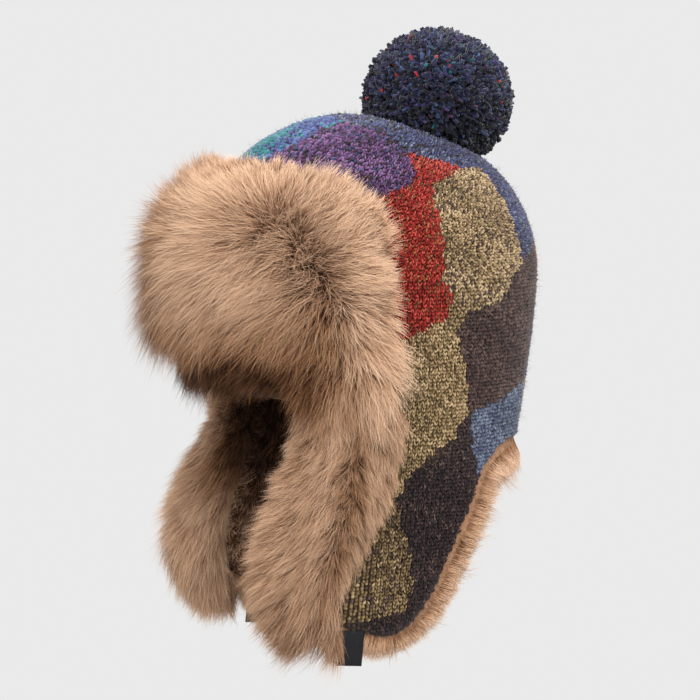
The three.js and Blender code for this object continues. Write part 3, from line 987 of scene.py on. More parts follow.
@dataclass
class StrandTree:
    """Geometry Nodes tree that grows strands on a mesh, as ribbons that arch over its surface.

    The mesh carries grow (where strands stand), lie (from root to tip), rise (the way the arch
    bulges) and tone (place in the palette). Sizes are in metres.
    """

    name: str
    count_per_area: float
    width: float
    arch: float = 0.16
    segments: int = 2
    taper: float = 1.0
    clump_size: float = 0.006
    clump_pull: float = 0.6
    jitter: float = 0.12
    length_spread: float = 0.18
    tone_spread: float = 0.5
    twist: float = 0.7
    seed: int = 1

    def build(self) -> NodeTree:
        """Makes the tree.

        Returns:
            The tree, with a named input for each size.
        """
        graph, take = new_tree(self.name, dict.fromkeys(self.inputs(), "Float"))
        copies = self._stand(graph, take, self._roots(graph, take), self._strand(graph, take))
        mapped = self._map(graph, graph.wire("GeometryNodeRealizeInstances", 0, None, {0: copies}))
        both = graph.node("GeometryNodeJoinGeometry")
        graph.feed(both, "Geometry", mapped)
        graph.feed(both, "Geometry", take["Geometry"])
        return graph.end(Wire(graph, both.outputs[0]), take["Material"])

    def inputs(self) -> dict[str, float]:
        """Sizes by the name of their input."""
        return {
            "Strands per Area": self.count_per_area,
            "Strand Width": self.width,
            "Arch": self.arch,
            "Taper": self.taper,
            "Clump Size": self.clump_size,
            "Clump Pull": self.clump_pull,
            "Jitter": self.jitter,
            "Length Spread": self.length_spread,
            "Tone Spread": self.tone_spread,
            "Twist": self.twist,
        }

    def _roots(self, graph: Graph, take: dict[str, Wire]) -> Wire:
        """Scatters the roots where the mesh says that strands stand.

        Args:
            graph: Graph of the tree.
            take: Inputs of the tree by name.

        Returns:
            The roots as points.
        """
        density = take["Strands per Area"] * graph.attribute("grow")
        settings = {"distribute_method": "RANDOM"}
        sockets = {"Mesh": take["Geometry"], "Density": density, "Seed": take["Seed"]}
        return graph.wire("GeometryNodeDistributePointsOnFaces", "Points", settings, sockets)

    def _strand(self, graph: Graph, take: dict[str, Wire]) -> Wire:
        """Makes one strand: one long, one wide, arched by one, and drawn to a point.

        Args:
            graph: Graph of the tree.
            take: Inputs of the tree by name.

        Returns:
            The strand.
        """
        sockets = {0: 1.0, 1: 1.0, 2: self.segments + 1, 3: 2}
        sheet = graph.wire("GeometryNodeMeshGrid", "Mesh", None, sockets)
        along, across, _ = graph.parts(graph.wire("GeometryNodeInputPosition", 0))
        sheet = graph.kept(graph.kept(sheet, "along", along + 0.5), "across", across)
        t = graph.attribute("along")
        narrow = (1.0 - t) ** take["Taper"]
        bent = graph.vector(t * (1.0 - t) * 4.0, graph.attribute("across") * narrow, t)
        moved = graph.wire("GeometryNodeSetPosition", 0, None, {0: sheet, "Position": bent})
        return graph.wire("GeometryNodeMergeByDistance", 0, None, {0: moved, "Distance": 1e-4})

    def _stand(self, graph: Graph, take: dict[str, Wire], points: Wire, strand: Wire) -> Wire:
        """Stands a strand on each root, drawn towards the middle of its clump.

        Args:
            graph: Graph of the tree.
            take: Inputs of the tree by name.
            points: Roots.
            strand: One strand.

        Returns:
            The strands as instances.
        """
        seed = take["Seed"]
        place = graph.wire("GeometryNodeInputPosition", 0)
        lie = graph.attribute("lie", "FLOAT_VECTOR")
        rise = graph.attribute("rise", "FLOAT_VECTOR")
        settings = {"voronoi_dimensions": "3D", "feature": "F1"}
        sockets = {"Vector": place, "Scale": 1.0 / take["Clump Size"]}
        cells = graph.wire("ShaderNodeTexVoronoi", "Position", settings, sockets)
        pull = graph.scaled(graph.vectors("SUBTRACT", cells, place), take["Clump Pull"])
        sockets = {"Min": (-1.0, -1.0, -1.0), "Max": (1.0, 1.0, 1.0), "Seed": seed}
        stray = graph.wire("FunctionNodeRandomValue", "Value", {"data_type": "FLOAT_VECTOR"}, sockets)
        stray = graph.scaled(stray, graph.length(lie) * take["Jitter"])
        longer = 1.0 + take["Length Spread"] * graph.chance(-1.0, 0.6, seed + 1.0)
        reach = graph.vectors("ADD", graph.scaled(graph.vectors("ADD", lie, pull), longer), stray)
        size = graph.length(reach)
        settings = {"primary_axis": "Z", "secondary_axis": "X"}
        turn = graph.wire("FunctionNodeAxesToRotation", 0, settings, {0: reach, 1: rise})
        angle = take["Twist"] * graph.chance(-1.0, 1.0, seed + 2.0)
        sockets = {"Axis": (0.0, 0.0, 1.0), "Angle": angle}
        spin = graph.wire("FunctionNodeAxisAngleToRotation", 0, None, sockets)
        turn = graph.wire("FunctionNodeRotateRotation", 0, {"rotation_space": "LOCAL"}, {0: turn, 1: spin})
        width = take["Strand Width"] * graph.chance(0.6, 1.3, seed + 3.0)
        tone = graph.attribute("tone") + take["Tone Spread"] * graph.chance(-0.5, 0.5, seed + 4.0)
        kept = graph.kept(points, "tone", graph.wire("ShaderNodeClamp", 0, None, {0: tone}))
        sockets = {"Points": kept, "Instance": strand, "Rotation": turn}
        sockets["Scale"] = graph.vector(size * take["Arch"], width, size)
        return graph.wire("GeometryNodeInstanceOnPoints", 0, None, sockets)

    def _map(self, graph: Graph, mesh: Wire) -> Wire:
        """Writes the palette map: tone across, and from root to tip upwards.

        Args:
            graph: Graph of the tree.
            mesh: All strands.

        Returns:
            The strands with their map.
        """
        across = graph.attribute("across") * 0.02
        tone = graph.attribute("tone") * TONE_REACH + TONE_START + across
        along = graph.attribute("along") * 0.98 + 0.01
        return graph.kept(mesh, PALETTE_UV, graph.vector(tone, along), "FLOAT2", "CORNER")

    def apply(self, carrier: Piece, material: Material) -> Piece:
        """Grows the strands on a mesh and turns the result into a plain mesh.

        Args:
            carrier: Object of the mesh that the strands stand on.
            material: Finish of the whole piece.

        Returns:
            The same object with its new mesh.
        """
        return run_tree(carrier, self.build(), {**self.inputs(), "Seed": self.seed, "Material": material})


def run_tree(carrier: Piece, tree: NodeTree, values: dict) -> Piece:
    """Runs a Geometry Nodes tree on an object and keeps its result as a plain mesh.

    Args:
        carrier: Object whose mesh goes in.
        tree: The tree.
        values: Value of each input by its name.

    Returns:
        The object with its new mesh and no modifier.
    """
    modifier = carrier.modifiers.new(tree.name, "NODES")
    modifier.node_group = tree
    for item in tree.interface.items_tree:
        if item.item_type == "SOCKET" and item.in_out == "INPUT" and item.name in values:
            modifier[item.identifier] = values[item.name]
    bpy.context.view_layer.update()
    graph = bpy.context.evaluated_depsgraph_get()
    mesh = bpy.data.meshes.new_from_object(carrier.evaluated_get(graph), depsgraph=graph)
    carrier.modifiers.clear()
    old = carrier.data
    carrier.data = mesh
    bpy.data.meshes.remove(old)
    mesh.name = carrier.name
    return carrier


def settle(piece: Piece, node: str) -> None:
    """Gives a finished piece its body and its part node.

    Args:
        piece: The object.
        node: Node of the part that it replaces.
    """
    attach(piece, BODY)
    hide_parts(node)
    corners = len(piece.data.loops) - 2 * len(piece.data.polygons)
    LOG.info("%s: %d triangles", piece.name, corners)


@dataclass
class FurCoat:
    """Under-pile, dark with the roots' colour and painted shade deep in the pile, with strands on its outer
    face, between a base and the tips of the pile.
    """

    name: str
    node: str
    strand_count: int
    seed: int
    width: float = 0.00044
    clump_size: float = 0.0075
    clump_pull: float = 0.62
    jitter: float = 0.32
    tone_spread: float = 0.44
    length_spread: float = 0.18
    dark_place: float = FurFinish.dark_place
    under_tone: float = 0.5
    wander: float = 4.2
    wander_size: float = 6.0
    under_along: float = 0.06
    under_reach: float = 0.02

    def build(
        self,
        base: Array,
        under: Array,
        outer: Array,
        sweep: tuple[Array, Array],
        tone: Array,
        material: Material,
        hang: Array | float = 0.0,
    ) -> Piece:
        """Makes the coat from grids of points.

        Args:
            base: Backing of the fur.
            under: Outer face of the under-pile, where the strands stand.
            outer: Outer face of the pile.
            sweep: How far the tips lie along the grid's columns and rows, in millimetres.
            tone: Lightness of the strands from 0, dark, to 1, light; below 0 they go on to the painted-shade
                hair.
            material: Finish of the fur.
            hang: How far the tips are moved besides, as vectors in millimetres.

        Returns:
            The object.
        """
        columns, rows = base.shape[:2]
        count = columns * rows
        points = np.concatenate([under.reshape(-1, 3), base.reshape(-1, 3)])
        faces = turned_out(points, slab_faces(columns, rows))
        carrier = mesh_object(self.name, points, faces)
        mesh = carrier.data
        tips = outer + hang + self._wander(outer) * self.wander
        for axis in (0, 1):
            tips = tips + unit(np.gradient(outer, axis=axis)) * sweep[axis][..., None]
        lie = (tips - under).reshape(-1, 3) * MM
        rise = unit((under - base).reshape(-1, 3))
        tone = np.clip(blend(self.dark_place, 1.0, tone), 0.0, 1.0).ravel()
        store(mesh, "grow", np.repeat([1.0, 0.0], count))
        for label, values in (("lie", lie), ("rise", rise), ("tone", tone)):
            store(mesh, label, np.concatenate([values, values]))
        # The under-pile takes the colour at the strands' roots, darkened by under_tone: the roots' own
        # colour and painted shade deep in the pile.
        face_tone = tone[faces[:, 0] % count] * self.under_tone
        place = np.stack([face_tone, np.full_like(face_tone, self.under_along)], axis=-1)
        map_faces(mesh, place, self.under_reach)
        strands = StrandTree(
            f"{self.name} strands",
            self.strand_count / grid_area(under),
            self.width,
            clump_size=self.clump_size,
            clump_pull=self.clump_pull,
            jitter=self.jitter,
            tone_spread=self.tone_spread,
            length_spread=self.length_spread,
            seed=self.seed,
        )
        made = strands.apply(carrier, material)
        settle(made, self.node)
        return made

    def _wander(self, points: Array) -> Array:
        """Slow drift of the hair over the pile, up to about one each way.

        Args:
            points: Points of the outer face.

        Returns:
            Drift at each point.
        """
        rng = np.random.default_rng(self.seed)
        waves = rng.normal(0.0, 1.0 / self.wander_size, (2, 3, 3))
        starts = rng.uniform(0.0, 2.0 * np.pi, (2, 3))
        first = np.sin(points @ waves[0] + starts[0])
        return first * np.sin(points @ waves[1] + starts[1] + first)


@dataclass
class Visor:
    """Turned-up fur visor on the brow, its pile parted along a line over each temple."""

    form: CrownForm
    half_span: float = 76.0
    low_z: float = 5.0
    high_z: float = 134.0
    end_low_z: float = 2.0
    end_high_z: float = 84.0
    corner_power: float = 3.4
    crest_up: float = 2.4
    crest_across: float = 5.0
    pile: float = 31.0
    edge_pile: float = 7.0
    gap: float = 0.8
    comb: float = 3.0
    columns: int = 84
    rows: int = 44
    inset: float = 0.95
    span_length: float = 133.0
    half_height: float = 65.0
    parting: tuple[tuple[float, float], ...] = (
        *((60.0, 29.0), (74.0, 20.0), (82.0, 11.0), (89.0, -3.0), (101.0, -28.0), (106.0, -66.0)),
    )
    sweep: float = 19.0
    low_fall: float = 10.0
    temple_fall: float = 22.0
    temple_push: float = 2.0
    edge_sweep: float = 0.5
    top_sweep: float = 0.2
    brow_band: tuple[float, float] = (0.5, 0.66)
    brow_depth: float = 0.45
    crest_depth: float = 0.78
    brow_shade: float = 1.1
    parting_reach: float = 15.0
    centre_reach: float = 0.3
    under_depth: float = 0.44
    strand_count: int = 54000
    base_tone: float = 0.5
    parting_shade: float = 0.4
    centre_fall: float = 0.5
    band_fall: float = 0.7
    high_sweep: Fade = Fade(0.0, 0.6)
    rear: Fade = Fade(0.75, 0.92)
    low_narrow: Fade = Fade(0.0, 0.6, 0.55)
    rear_push: Fade = Fade(0.0, 0.3, 0.45)
    rear_turn: Fade = Fade(0.62, 0.85, 1.5)
    off_centre: Fade = Fade(0.44, 0.6)
    fall_start: Fade = Fade(-0.2, 0.4)
    fall_end: Fade = Fade(0.55, 0.9, 0.55)
    temple_low: Fade = Fade(0.55, 0.95)
    temple_side: Fade = Fade(0.5, 0.68)
    far_light: Fade = Fade(3.0, 26.0, 0.14)
    top_light: Fade = Fade(0.2, 0.85, 0.32)
    side_light: Fade = Fade(0.66, 0.86, 0.72)
    side_low: Fade = Fade(0.3, 0.8, 0.55)
    off_parting: Fade = Fade(2.0, 12.0)
    parting_side: Fade = Fade(0.6, 0.75)
    low_shade: Fade = Fade(-0.1, 0.7, 0.85)
    shade_side: Fade = Fade(0.62, 0.8)
    crest_rise: Fade = Fade(0.5, 0.9)
    crest_side: Fade = Fade(0.35, 0.7)

    def point(self, across: Array, up: Array, depth: Array) -> Array:
        """Point of the pad.

        Args:
            across: From one end of the visor (-1) to the other (1).
            up: From the low edge (-1) to the high edge (1).
            depth: From the backing (0) to the tips (1).

        Returns:
            Points of the pad.
        """
        corner = np.sqrt(np.maximum(0.0, 1.0 - np.abs(across) ** self.corner_power))
        low = blend(self.end_low_z, self.low_z, corner)
        high = blend(self.end_high_z, self.high_z, corner)
        foot = self.form.wall(180.0 + self.half_span * across, blend(low, high, (up + 1.0) / 2.0))
        pile = blend(self.edge_pile, self.pile, np.sqrt(self._fullness(across, up)))
        moved = self.form.offset(foot, self.gap + pile * depth)
        moved[..., 2] += up * self.comb * depth
        return moved

    def _fullness(self, across: Array, up: Array) -> Array:
        """How full the pile is, from 0 at the rim to 1 in the middle."""
        high = 1.0 - np.abs(up) ** self.crest_up
        return np.maximum(0.0, high * (1.0 - np.abs(across) ** self.crest_across))

    def _away(self, across: Array, up: Array) -> tuple[Array, Array, Array]:
        """Directions away from the parting over the nearer temple.

        Args:
            across: Places across the visor.
            up: Places up the visor.

        Returns:
            Shares across and up, and the distance from the parting.
        """
        place = np.stack([np.abs(across) * self.span_length, up * self.half_height], axis=-1)
        line = np.array(self.parting)
        best = np.full(across.shape, np.inf)
        away = np.zeros(place.shape)
        for start, end in zip(line, line[1:]):
            way = end - start
            share = np.clip((place - start) @ way / (way @ way), 0.0, 1.0)
            gone = place - start - share[..., None] * way
            far = np.linalg.norm(gone, axis=-1)
            nearer = far < best
            best = np.where(nearer, far, best)
            away = np.where(nearer[..., None], gone, away)
        away = unit(away)
        return away[..., 0] * np.sign(across), away[..., 1], best

    def build(self, material: Material) -> Piece:
        """Makes the visor.

        Args:
            material: Finish of the piece.

        Returns:
            The object.
        """
        ends = (-self.inset, self.inset)
        across, up = spans((*ends, self.columns), (*ends, self.rows))
        whole = np.ones_like(across)
        side, rise, far = self._away(across, up)
        size = np.abs(across)
        reach = self.sweep * smooth(far, 0.0, self.parting_reach)
        edge_sweep = blend(self.edge_sweep, self.top_sweep, self.high_sweep(up))
        reach = reach * blend(edge_sweep, 1.0, self._fullness(across, up))
        side = side * smooth(size, 0.0, self.centre_reach)
        rear = self.rear(size)
        side = side * (1.0 - self.low_narrow(-up) * (1.0 - rear))
        side = side * (1.0 + rear * (self.rear_push(-up) - self.rear_turn(-up)))
        centre = 1.0 - self.off_centre(size)
        low = self.fall_start(-up) * (1.0 - self.fall_end(-up)) * (1.0 - self.centre_fall * centre)
        temple = self.temple_low(-up) * self.temple_side(size)
        # The tone paints light and shade: lighter on top, towards the ends and away from the parting;
        # painted shade at the parting, along the low edge and, down into the painted-shade hair, in the brow
        # band.
        tone = self.base_tone + self.far_light(far) + self.top_light(up)
        tone = tone + self.side_light(size) * (1.0 - self.side_low(-up))
        tone = tone - self.parting_shade * (1.0 - self.off_parting(far)) * self.parting_side(size)
        tone = tone - self.low_shade(-up) * (1.0 - self.shade_side(size))
        band = smooth(-up, *self.brow_band) * centre
        tone = tone - self.brow_shade * band
        base = self.point(across, up, whole * 0.0)
        under = self.point(across, up, blend(self.under_depth, self.brow_depth * 0.4, band))
        crest = self.crest_rise(up) * (1.0 - self.crest_side(size))
        outer = self.point(across, up, blend(blend(1.0, self.crest_depth, crest), self.brow_depth, band))
        hang = unit(outer - base) * (self.temple_push * temple)[..., None]
        hang[..., 2] -= self.low_fall * blend(low, self.band_fall, band) + self.temple_fall * temple
        coat = FurCoat("visor_fur_pile", "visor_fur", self.strand_count, seed=11, length_spread=0.3)
        return coat.build(base, under, outer, (side * reach, rise * reach), tone, material, hang)


@dataclass
class FlapTrim:
    """Fur roll round the front edge of a flap, parted along a line on its outer face."""

    form: CrownForm
    edge: KnitEdge
    top_z: float = 12.0
    nose_top_z: float = -3.0
    low_z: float = -126.0
    widths: tuple[float, float, float] = (42.5, 46.5, 13.0)
    edge_gap: float = 1.5
    inside_width: float = 5.0
    wall_half: float = 2.0
    pile: float = 25.0
    edge_pile: float = 3.5
    tip_drop: float = 30.0
    outside_steps: float = 7.0
    nose_steps: float = 4.0
    all_steps: float = 12.0
    columns: int = 60
    rows: int = 48
    parting: tuple[float, float] = (4.15, 3.5)
    sweep: float = 12.0
    rear_sweep: tuple[float, float] = (2.0, 14.0)
    tip_turn: Fade = Fade(0.7, 0.95, 2.4)
    left_nose: Fade = Fade(8.6, 10.6, 2.0)
    right_nose: Fade = Fade(6.4, 8.2, 2.0)
    fall: tuple[float, float] = (6.0, 12.0)
    low_fall: float = 8.0
    top_fall: float = 6.0
    right_fall: float = 14.0
    slim: float = 0.42
    under_depth: float = 0.55
    strand_count: int = 29000
    ends: tuple[float, float] = (0.0, 0.98)
    first_step: float = 0.3
    parting_width: float = 1.3
    top_sweep: float = 0.35
    inner_cut: tuple[float, float] = (0.4, 0.7)
    base_tone: float = 0.6
    parting_shade: float = 0.46
    right_light: float = 0.18
    widening: Fade = Fade(0.0, 0.45)
    tapering: Fade = Fade(0.45, 1.05)
    tip_fall: Fade = Fade(0.7, 1.0)
    parting_drift: Fade = Fade(0.45, 0.75)
    rear_grow: Fade = Fade(0.15, 0.8)
    upper: Fade = Fade(0.0, 0.6)
    inner: Fade = Fade(5.0, 8.0)
    inner_grow: Fade = Fade(0.45, 0.85)
    rear_fall: Fade = Fade(0.0, 2.0)
    low_part: Fade = Fade(0.6, 1.0)
    top_part: Fade = Fade(0.0, 0.2)
    right_part: Fade = Fade(0.05, 0.4)
    fall_end: Fade = Fade(0.75, 1.0, 0.85)
    slim_start: Fade = Fade(5.5, 8.0)
    front_shade: Fade = Fade(0.3, 2.4, 0.16)
    rear_shade: Fade = Fade(0.3, 3.0, 0.18)
    off_parting: Fade = Fade(0.1, 1.6)
    parting_end: Fade = Fade(0.75, 0.95, 0.6)
    nose_shade: Fade = Fade(6.0, 8.0, 0.04)
    right_shade: Fade = Fade(8.6, 10.5, 1.1)
    right_low: Fade = Fade(0.25, 0.6)

    def point(self, along: Array, step: Array, depth: Array) -> Array:
        """Point of the left roll.

        Args:
            along: From the top (0) to the low end (1).
            step: Round the roll, from its rear edge on the outside (0) to the inside (12).
            depth: From the backing (0) to the tips (1).

        Returns:
            Points of the roll.
        """
        nose = smooth(step, self.outside_steps - 2.0, self.outside_steps)
        z = blend(blend(self.top_z, self.nose_top_z, nose), self.low_z, along)
        bearing = self.edge.front_bearing(z)
        rim = self.form.wall(bearing, z)
        upper = blend(self.widths[0], self.widths[1], self.widening(along))
        width = blend(upper, self.widths[2], self.tapering(along))
        back = width * np.maximum(0.0, 1.0 - step / self.outside_steps)
        turned = np.degrees(back / np.hypot(rim[..., 0], rim[..., 1]))
        foot = self.form.wall(bearing - turned, z)
        outside = self.form.offset(foot, self.edge_gap)
        level = self.form.normal(rim)
        level[..., 2] = 0.0
        level = unit(level)
        forward = np.stack([level[..., 1], -level[..., 0], np.zeros_like(z)], axis=-1)
        past = np.maximum(0.0, step - self.outside_steps)
        angle = (np.pi * np.minimum(past, self.nose_steps) / self.nose_steps)[..., None]
        inside_steps = self.all_steps - self.outside_steps - self.nose_steps
        beyond = np.maximum(0.0, past - self.nose_steps) / inside_steps
        inward = (self.edge_gap - self.inside_width * beyond)[..., None]
        ahead = level * np.cos(angle) + forward * np.sin(angle)
        round_nose = rim - level * self.wall_half + forward * inward
        round_nose = round_nose + ahead * (self.wall_half + self.edge_gap)
        on_face = (step <= self.outside_steps)[..., None]
        base = np.where(on_face, outside, round_nose)
        direction = np.where(on_face, self.form.normal(foot), ahead)
        ends = np.minimum(np.minimum(1.0, 0.55 + 4.0 * np.maximum(along, 0.0)), 5.0 * (1.0 - along))
        full = np.maximum(0.0, np.sin(np.pi * step / self.all_steps)) * np.maximum(0.0, ends)
        pile = blend(self.edge_pile, self.pile, np.sqrt(full))
        moved = base + direction * (pile * depth)[..., None]
        moved[..., 2] -= self.tip_drop * self.tip_fall(along) * depth
        return moved

    def build(self, side: int, material: Material) -> Piece:
        """Makes the trim of one flap.

        Args:
            side: 1 for the left flap, -1 for the right one.
            material: Finish of the fur.

        Returns:
            The object.
        """
        along, step = spans((*self.ends, self.columns), (self.first_step, self.all_steps, self.rows))
        whole = np.ones_like(along)
        mirror = np.array([side, 1.0, 1.0])
        left = side > 0
        off = step - blend(*self.parting, self.parting_drift(along))
        nose = self.left_nose if left else self.right_nose
        rear = blend(*self.rear_sweep, self.rear_grow(along)) * (1.0 - self.tip_turn(along))
        front = self.sweep * (1.0 - nose(step)) * blend(self.top_sweep, 1.0, self.upper(along))
        inner = self.inner(step) * (0.0 if left else 1.0)
        front = front * (1.0 - inner * blend(*self.inner_cut, self.inner_grow(along)))
        reach = np.tanh(off / self.parting_width) * np.where(off > 0.0, front, rear)
        fall = blend(*self.fall, self.rear_fall(-off)) + self.low_fall * self.low_part(along)
        fall = fall + self.top_fall * (1.0 - self.top_part(along)) * (1.0 - inner)
        fall = fall + inner * (self.right_fall * self.right_part(along) - self.fall[0])
        fall = fall * (1.0 - self.fall_end(along))
        slim = self.slim * self.slim_start(step) * (1.0 - self.upper(along))
        # The tone paints shade: darker towards the front and rear of the roll, at its nose and along the
        # parting; the right flap is lighter overall, with painted shade on its inner side near the top.
        tone = self.base_tone - self.front_shade(off) - self.rear_shade(-off)
        parted = (1.0 - self.off_parting(np.abs(off))) * (1.0 - self.parting_end(along))
        tone = tone - self.nose_shade(step) - self.parting_shade * parted
        if not left:
            tone = tone + self.right_light - self.right_shade(step) * (1.0 - self.right_low(along))
        base = self.point(along, step, whole * 0.0) * mirror
        under = self.point(along, step, whole * self.under_depth * (1.0 - slim)) * mirror
        outer = self.point(along, step, whole - slim) * mirror
        label = "left" if left else "right"
        names = (f"flap_trim_{label}_pile", f"flap_trim_fur_{label}")
        look = {"jitter": 0.22, "wander": 2.6, "length_spread": 0.25}
        coat = FurCoat(*names, self.strand_count, seed=21 + side, **look)
        return coat.build(base, under, outer, (fall, reach), tone, material)


@dataclass
class RimLining:
    """Fur lining of both flaps and the nape, with a fringe past the edge of the knit."""

    form: CrownForm
    edge: KnitEdge
    top_share: float = 0.12
    face: float = 4.8
    pile: float = 15.0
    top_pile: float = 4.0
    fringe_nape: float = 24.0
    fringe_rear: float = 19.0
    fringe_tip: float = 18.0
    depth_nape: float = -4.0
    depth_tip: float = 2.5
    front_inset: float = 5.0
    front_cover: float = 2.5
    end_margin: float = 0.03
    end_fullness: float = 0.6
    columns: int = 200
    rows: int = 22
    under_depth: float = 0.5
    flap_middle: float = 95.0
    middle_width: float = 0.15
    sweep_side: float = 9.0
    sweep_down: float = 11.0
    strand_count: int = 18000
    fringe_columns: int = 260
    fringe_rows: int = 13
    fringe_inside: float = 9.0
    fringe_root: float = -1.8
    fringe_least: float = 0.5
    fringe_body: float = 0.5
    fringe_count: int = 34000
    tab_bearing: float = 120.0
    tab_reach: tuple[float, float] = (5.0, 8.5)
    tab_cut: float = 0.25
    tab_depth: float = 6.0
    base_tone: float = -0.2
    fringe_tone: tuple[float, float] = (0.8, 0.2)
    fringe_start: float = -1.5
    fringe_end: float = 12.0
    root_depths: tuple[float, float] = (5.8, 2.2)
    side_share: float = 0.6
    end_lift: float = 1.0
    rim_reach: float = 0.62
    rear_part: Fade = Fade(40.0, 62.0)
    low_part: Fade = Fade(90.0, 140.0)
    front_part: Fade = Fade(124.0, 134.0)
    deeper: Fade = Fade(60.0, 100.0)
    covered: Fade = Fade(96.0, 116.0)
    thicken: Fade = Fade(-0.2, 0.6)
    turn_up: Fade = Fade(0.55, 1.0)
    reach_down: Fade = Fade(0.4, 1.0)
    low_light: Fade = Fade(0.3, 0.9, 0.85)
    aside: Fade = Fade(0.2, 0.35)
    sweep_end: Fade = Fade(0.65, 0.95, 0.85)

    def front_share(self) -> float:
        """Share of the edge where the lining ends under the trim.

        Returns:
            The share.
        """
        temple = self.edge.rows[self.edge.temple_row][2] - self.front_inset
        size = np.linspace(0.0, 1.0, 2000)
        place = self.edge.station(size)
        inside = (place[:, 0] < self.edge.rows[self.edge.temple_row][0]) & (place[:, 2] < temple)
        return float(size[inside].max())

    def _fringe(self, place: Array) -> tuple[Array, Array]:
        """Length of the fringe at stations of the edge, and how deep its tips lie.

        Args:
            place: Stations of the edge.

        Returns:
            Lengths, and depths below the outer face of the knit.
        """
        size = np.abs(place[..., 1])
        fringe = blend(self.fringe_nape, self.fringe_rear, self.rear_part(size))
        fringe = blend(fringe, self.fringe_tip, self.low_part(-place[..., 2]))
        fringe = fringe * (1.0 - self.front_part(size))
        return fringe, blend(self.depth_nape, self.depth_tip, self.deeper(size))

    def point(self, share: Array, down: Array, depth: Array) -> Array:
        """Point of the lining.

        Args:
            share: Signed share of the knit edge, negative on the right side.
            down: From the top of the lining (0) to the knit edge (1).
            depth: From the backing (0) to the tips (1).

        Returns:
            Points of the lining.
        """
        place = self.edge.station(share)
        sign = np.where(share < 0.0, -1.0, 1.0)
        inset = sign * self.front_cover * self.covered(np.abs(place[..., 0]))
        shown = blend(self.top_share, 1.0, down)
        bearing = blend(place[..., 0], place[..., 1], shown) - inset
        foot = self.form.wall(bearing, blend(self.form.brow_z, place[..., 2], shown))
        fringe, tip_depth = self._fringe(place)
        ends = smooth(self.front_share() - np.abs(share), -0.01, self.end_margin)
        ends = blend(self.end_fullness, 1.0, ends)
        pile = blend(self.top_pile, self.pile, self.thicken(down) * ends)
        turned = np.where(fringe > self.fringe_least, self.turn_up(down), 0.0)
        tip = self.form.offset(foot, -blend(self.face + pile, tip_depth, turned))
        reach = (fringe * self.reach_down(down))[..., None]
        tip = tip + self.edge.outward(share) * reach
        base = self.form.offset(foot, -self.face)
        return base + (tip - base) * depth[..., None]

    def build(self, material: Material) -> Piece:
        """Makes the lining of both flaps and the nape.

        Args:
            material: Finish of the piece.

        Returns:
            The object.
        """
        limit = self.front_share()
        share, down = spans((-limit, limit, self.columns), (0.0, 1.0, self.rows))
        whole = np.ones_like(share)
        middle = float(np.interp(self.flap_middle, self.edge.curve[:, 0], self.edge.along))
        aside = np.clip((np.abs(share) - middle) / self.middle_width, -1.0, 1.0)
        aside = aside * np.sign(share) * self.sweep_side * self.aside(np.abs(share))
        downward = self.sweep_down * (1.0 - self.sweep_end(down))
        # Painted shade: the lining starts at its top, inside under the visor, in the painted-shade hair, and
        # lightens towards the knit edge.
        tone = self.base_tone + self.low_light(down)
        base, under, outer = (self.point(share, down, whole * d) for d in (0.0, self.under_depth, 1.0))
        coat = FurCoat("rim_lining_pile", "rim_lining_fur", self.strand_count, seed=31)
        return coat.build(base, under, outer, (aside, downward), tone, material)

    def build_fringe(self, material: Material) -> Piece:
        """Makes the fringe that shows past the edge of the knit.

        Args:
            material: Finish of the piece.

        Returns:
            The object.
        """
        limit = self.front_share()
        share, turn = spans((-limit, limit, self.fringe_columns), (0.0, 1.0, self.fringe_rows))
        place = self.edge.station(share)
        foot = self.form.wall(place[..., 1], place[..., 2])
        outward = self.edge.outward(share)
        fringe, tip_depth = self._fringe(place)
        behind_tab = 1.0 - smooth(np.abs(place[..., 1] - self.tab_bearing), *self.tab_reach)
        fringe = fringe * (1.0 - self.tab_cut * behind_tab)
        tip_depth = tip_depth + self.tab_depth * behind_tab
        fringe = np.maximum(fringe, self.fringe_least)
        body = np.sqrt(np.maximum(0.0, 1.0 - (2.0 * turn - 1.0) ** 2))
        root_depth = blend(*self.root_depths, turn)
        side_depth = blend(self.fringe_inside, tip_depth * self.side_share, turn)
        end_depth = blend(self.fringe_end, tip_depth - self.end_lift, turn)
        base = self.form.offset(foot, -root_depth) + outward * self.fringe_root
        under = self.form.offset(foot, -blend(root_depth, side_depth, body))
        under = under + outward * (self.fringe_start + fringe * self.fringe_body * body)[..., None]
        reach = (fringe * blend(self.rim_reach, 1.0, body))[..., None]
        outer = self.form.offset(foot, -end_depth) + outward * reach
        tone = self.fringe_tone[0] + self.fringe_tone[1] * turn
        look = {"under_along": 0.2, "under_tone": 0.75, "length_spread": 0.08, "wander": 1.4}
        look.update({"jitter": 0.09, "clump_pull": 0.25, "clump_size": 0.005})
        coat = FurCoat("rim_fringe_pile", "rim_lining_fur", self.fringe_count, seed=37, **look)
        still = np.zeros_like(share)
        return coat.build(base, under, outer, (still, still), tone, material)


@dataclass(frozen=True)
class Patch:
    """One colour field of the patchwork, with the names of its corners in order."""

    yarn: Yarn
    corners: str

    def holds(self, spots: dict[str, tuple[float, float]], bearing: Array, level: Array) -> Array:
        """Whether places lie inside the patch.

        Args:
            spots: Bearing and level of each named corner.
            bearing: Bearings of the places.
            level: Levels of the places.

        Returns:
            True for each place inside.
        """
        inside = np.zeros(bearing.shape, bool)
        outline = [spots[name] for name in self.corners]
        for (b0, l0), (b1, l1) in zip(outline, outline[1:] + outline[:1]):
            if l0 == l1:
                continue
            crosses = (level < max(l0, l1)) & (level >= min(l0, l1))
            inside ^= crosses & (bearing < b0 + (level - l0) * (b1 - b0) / (l1 - l0))
        return inside


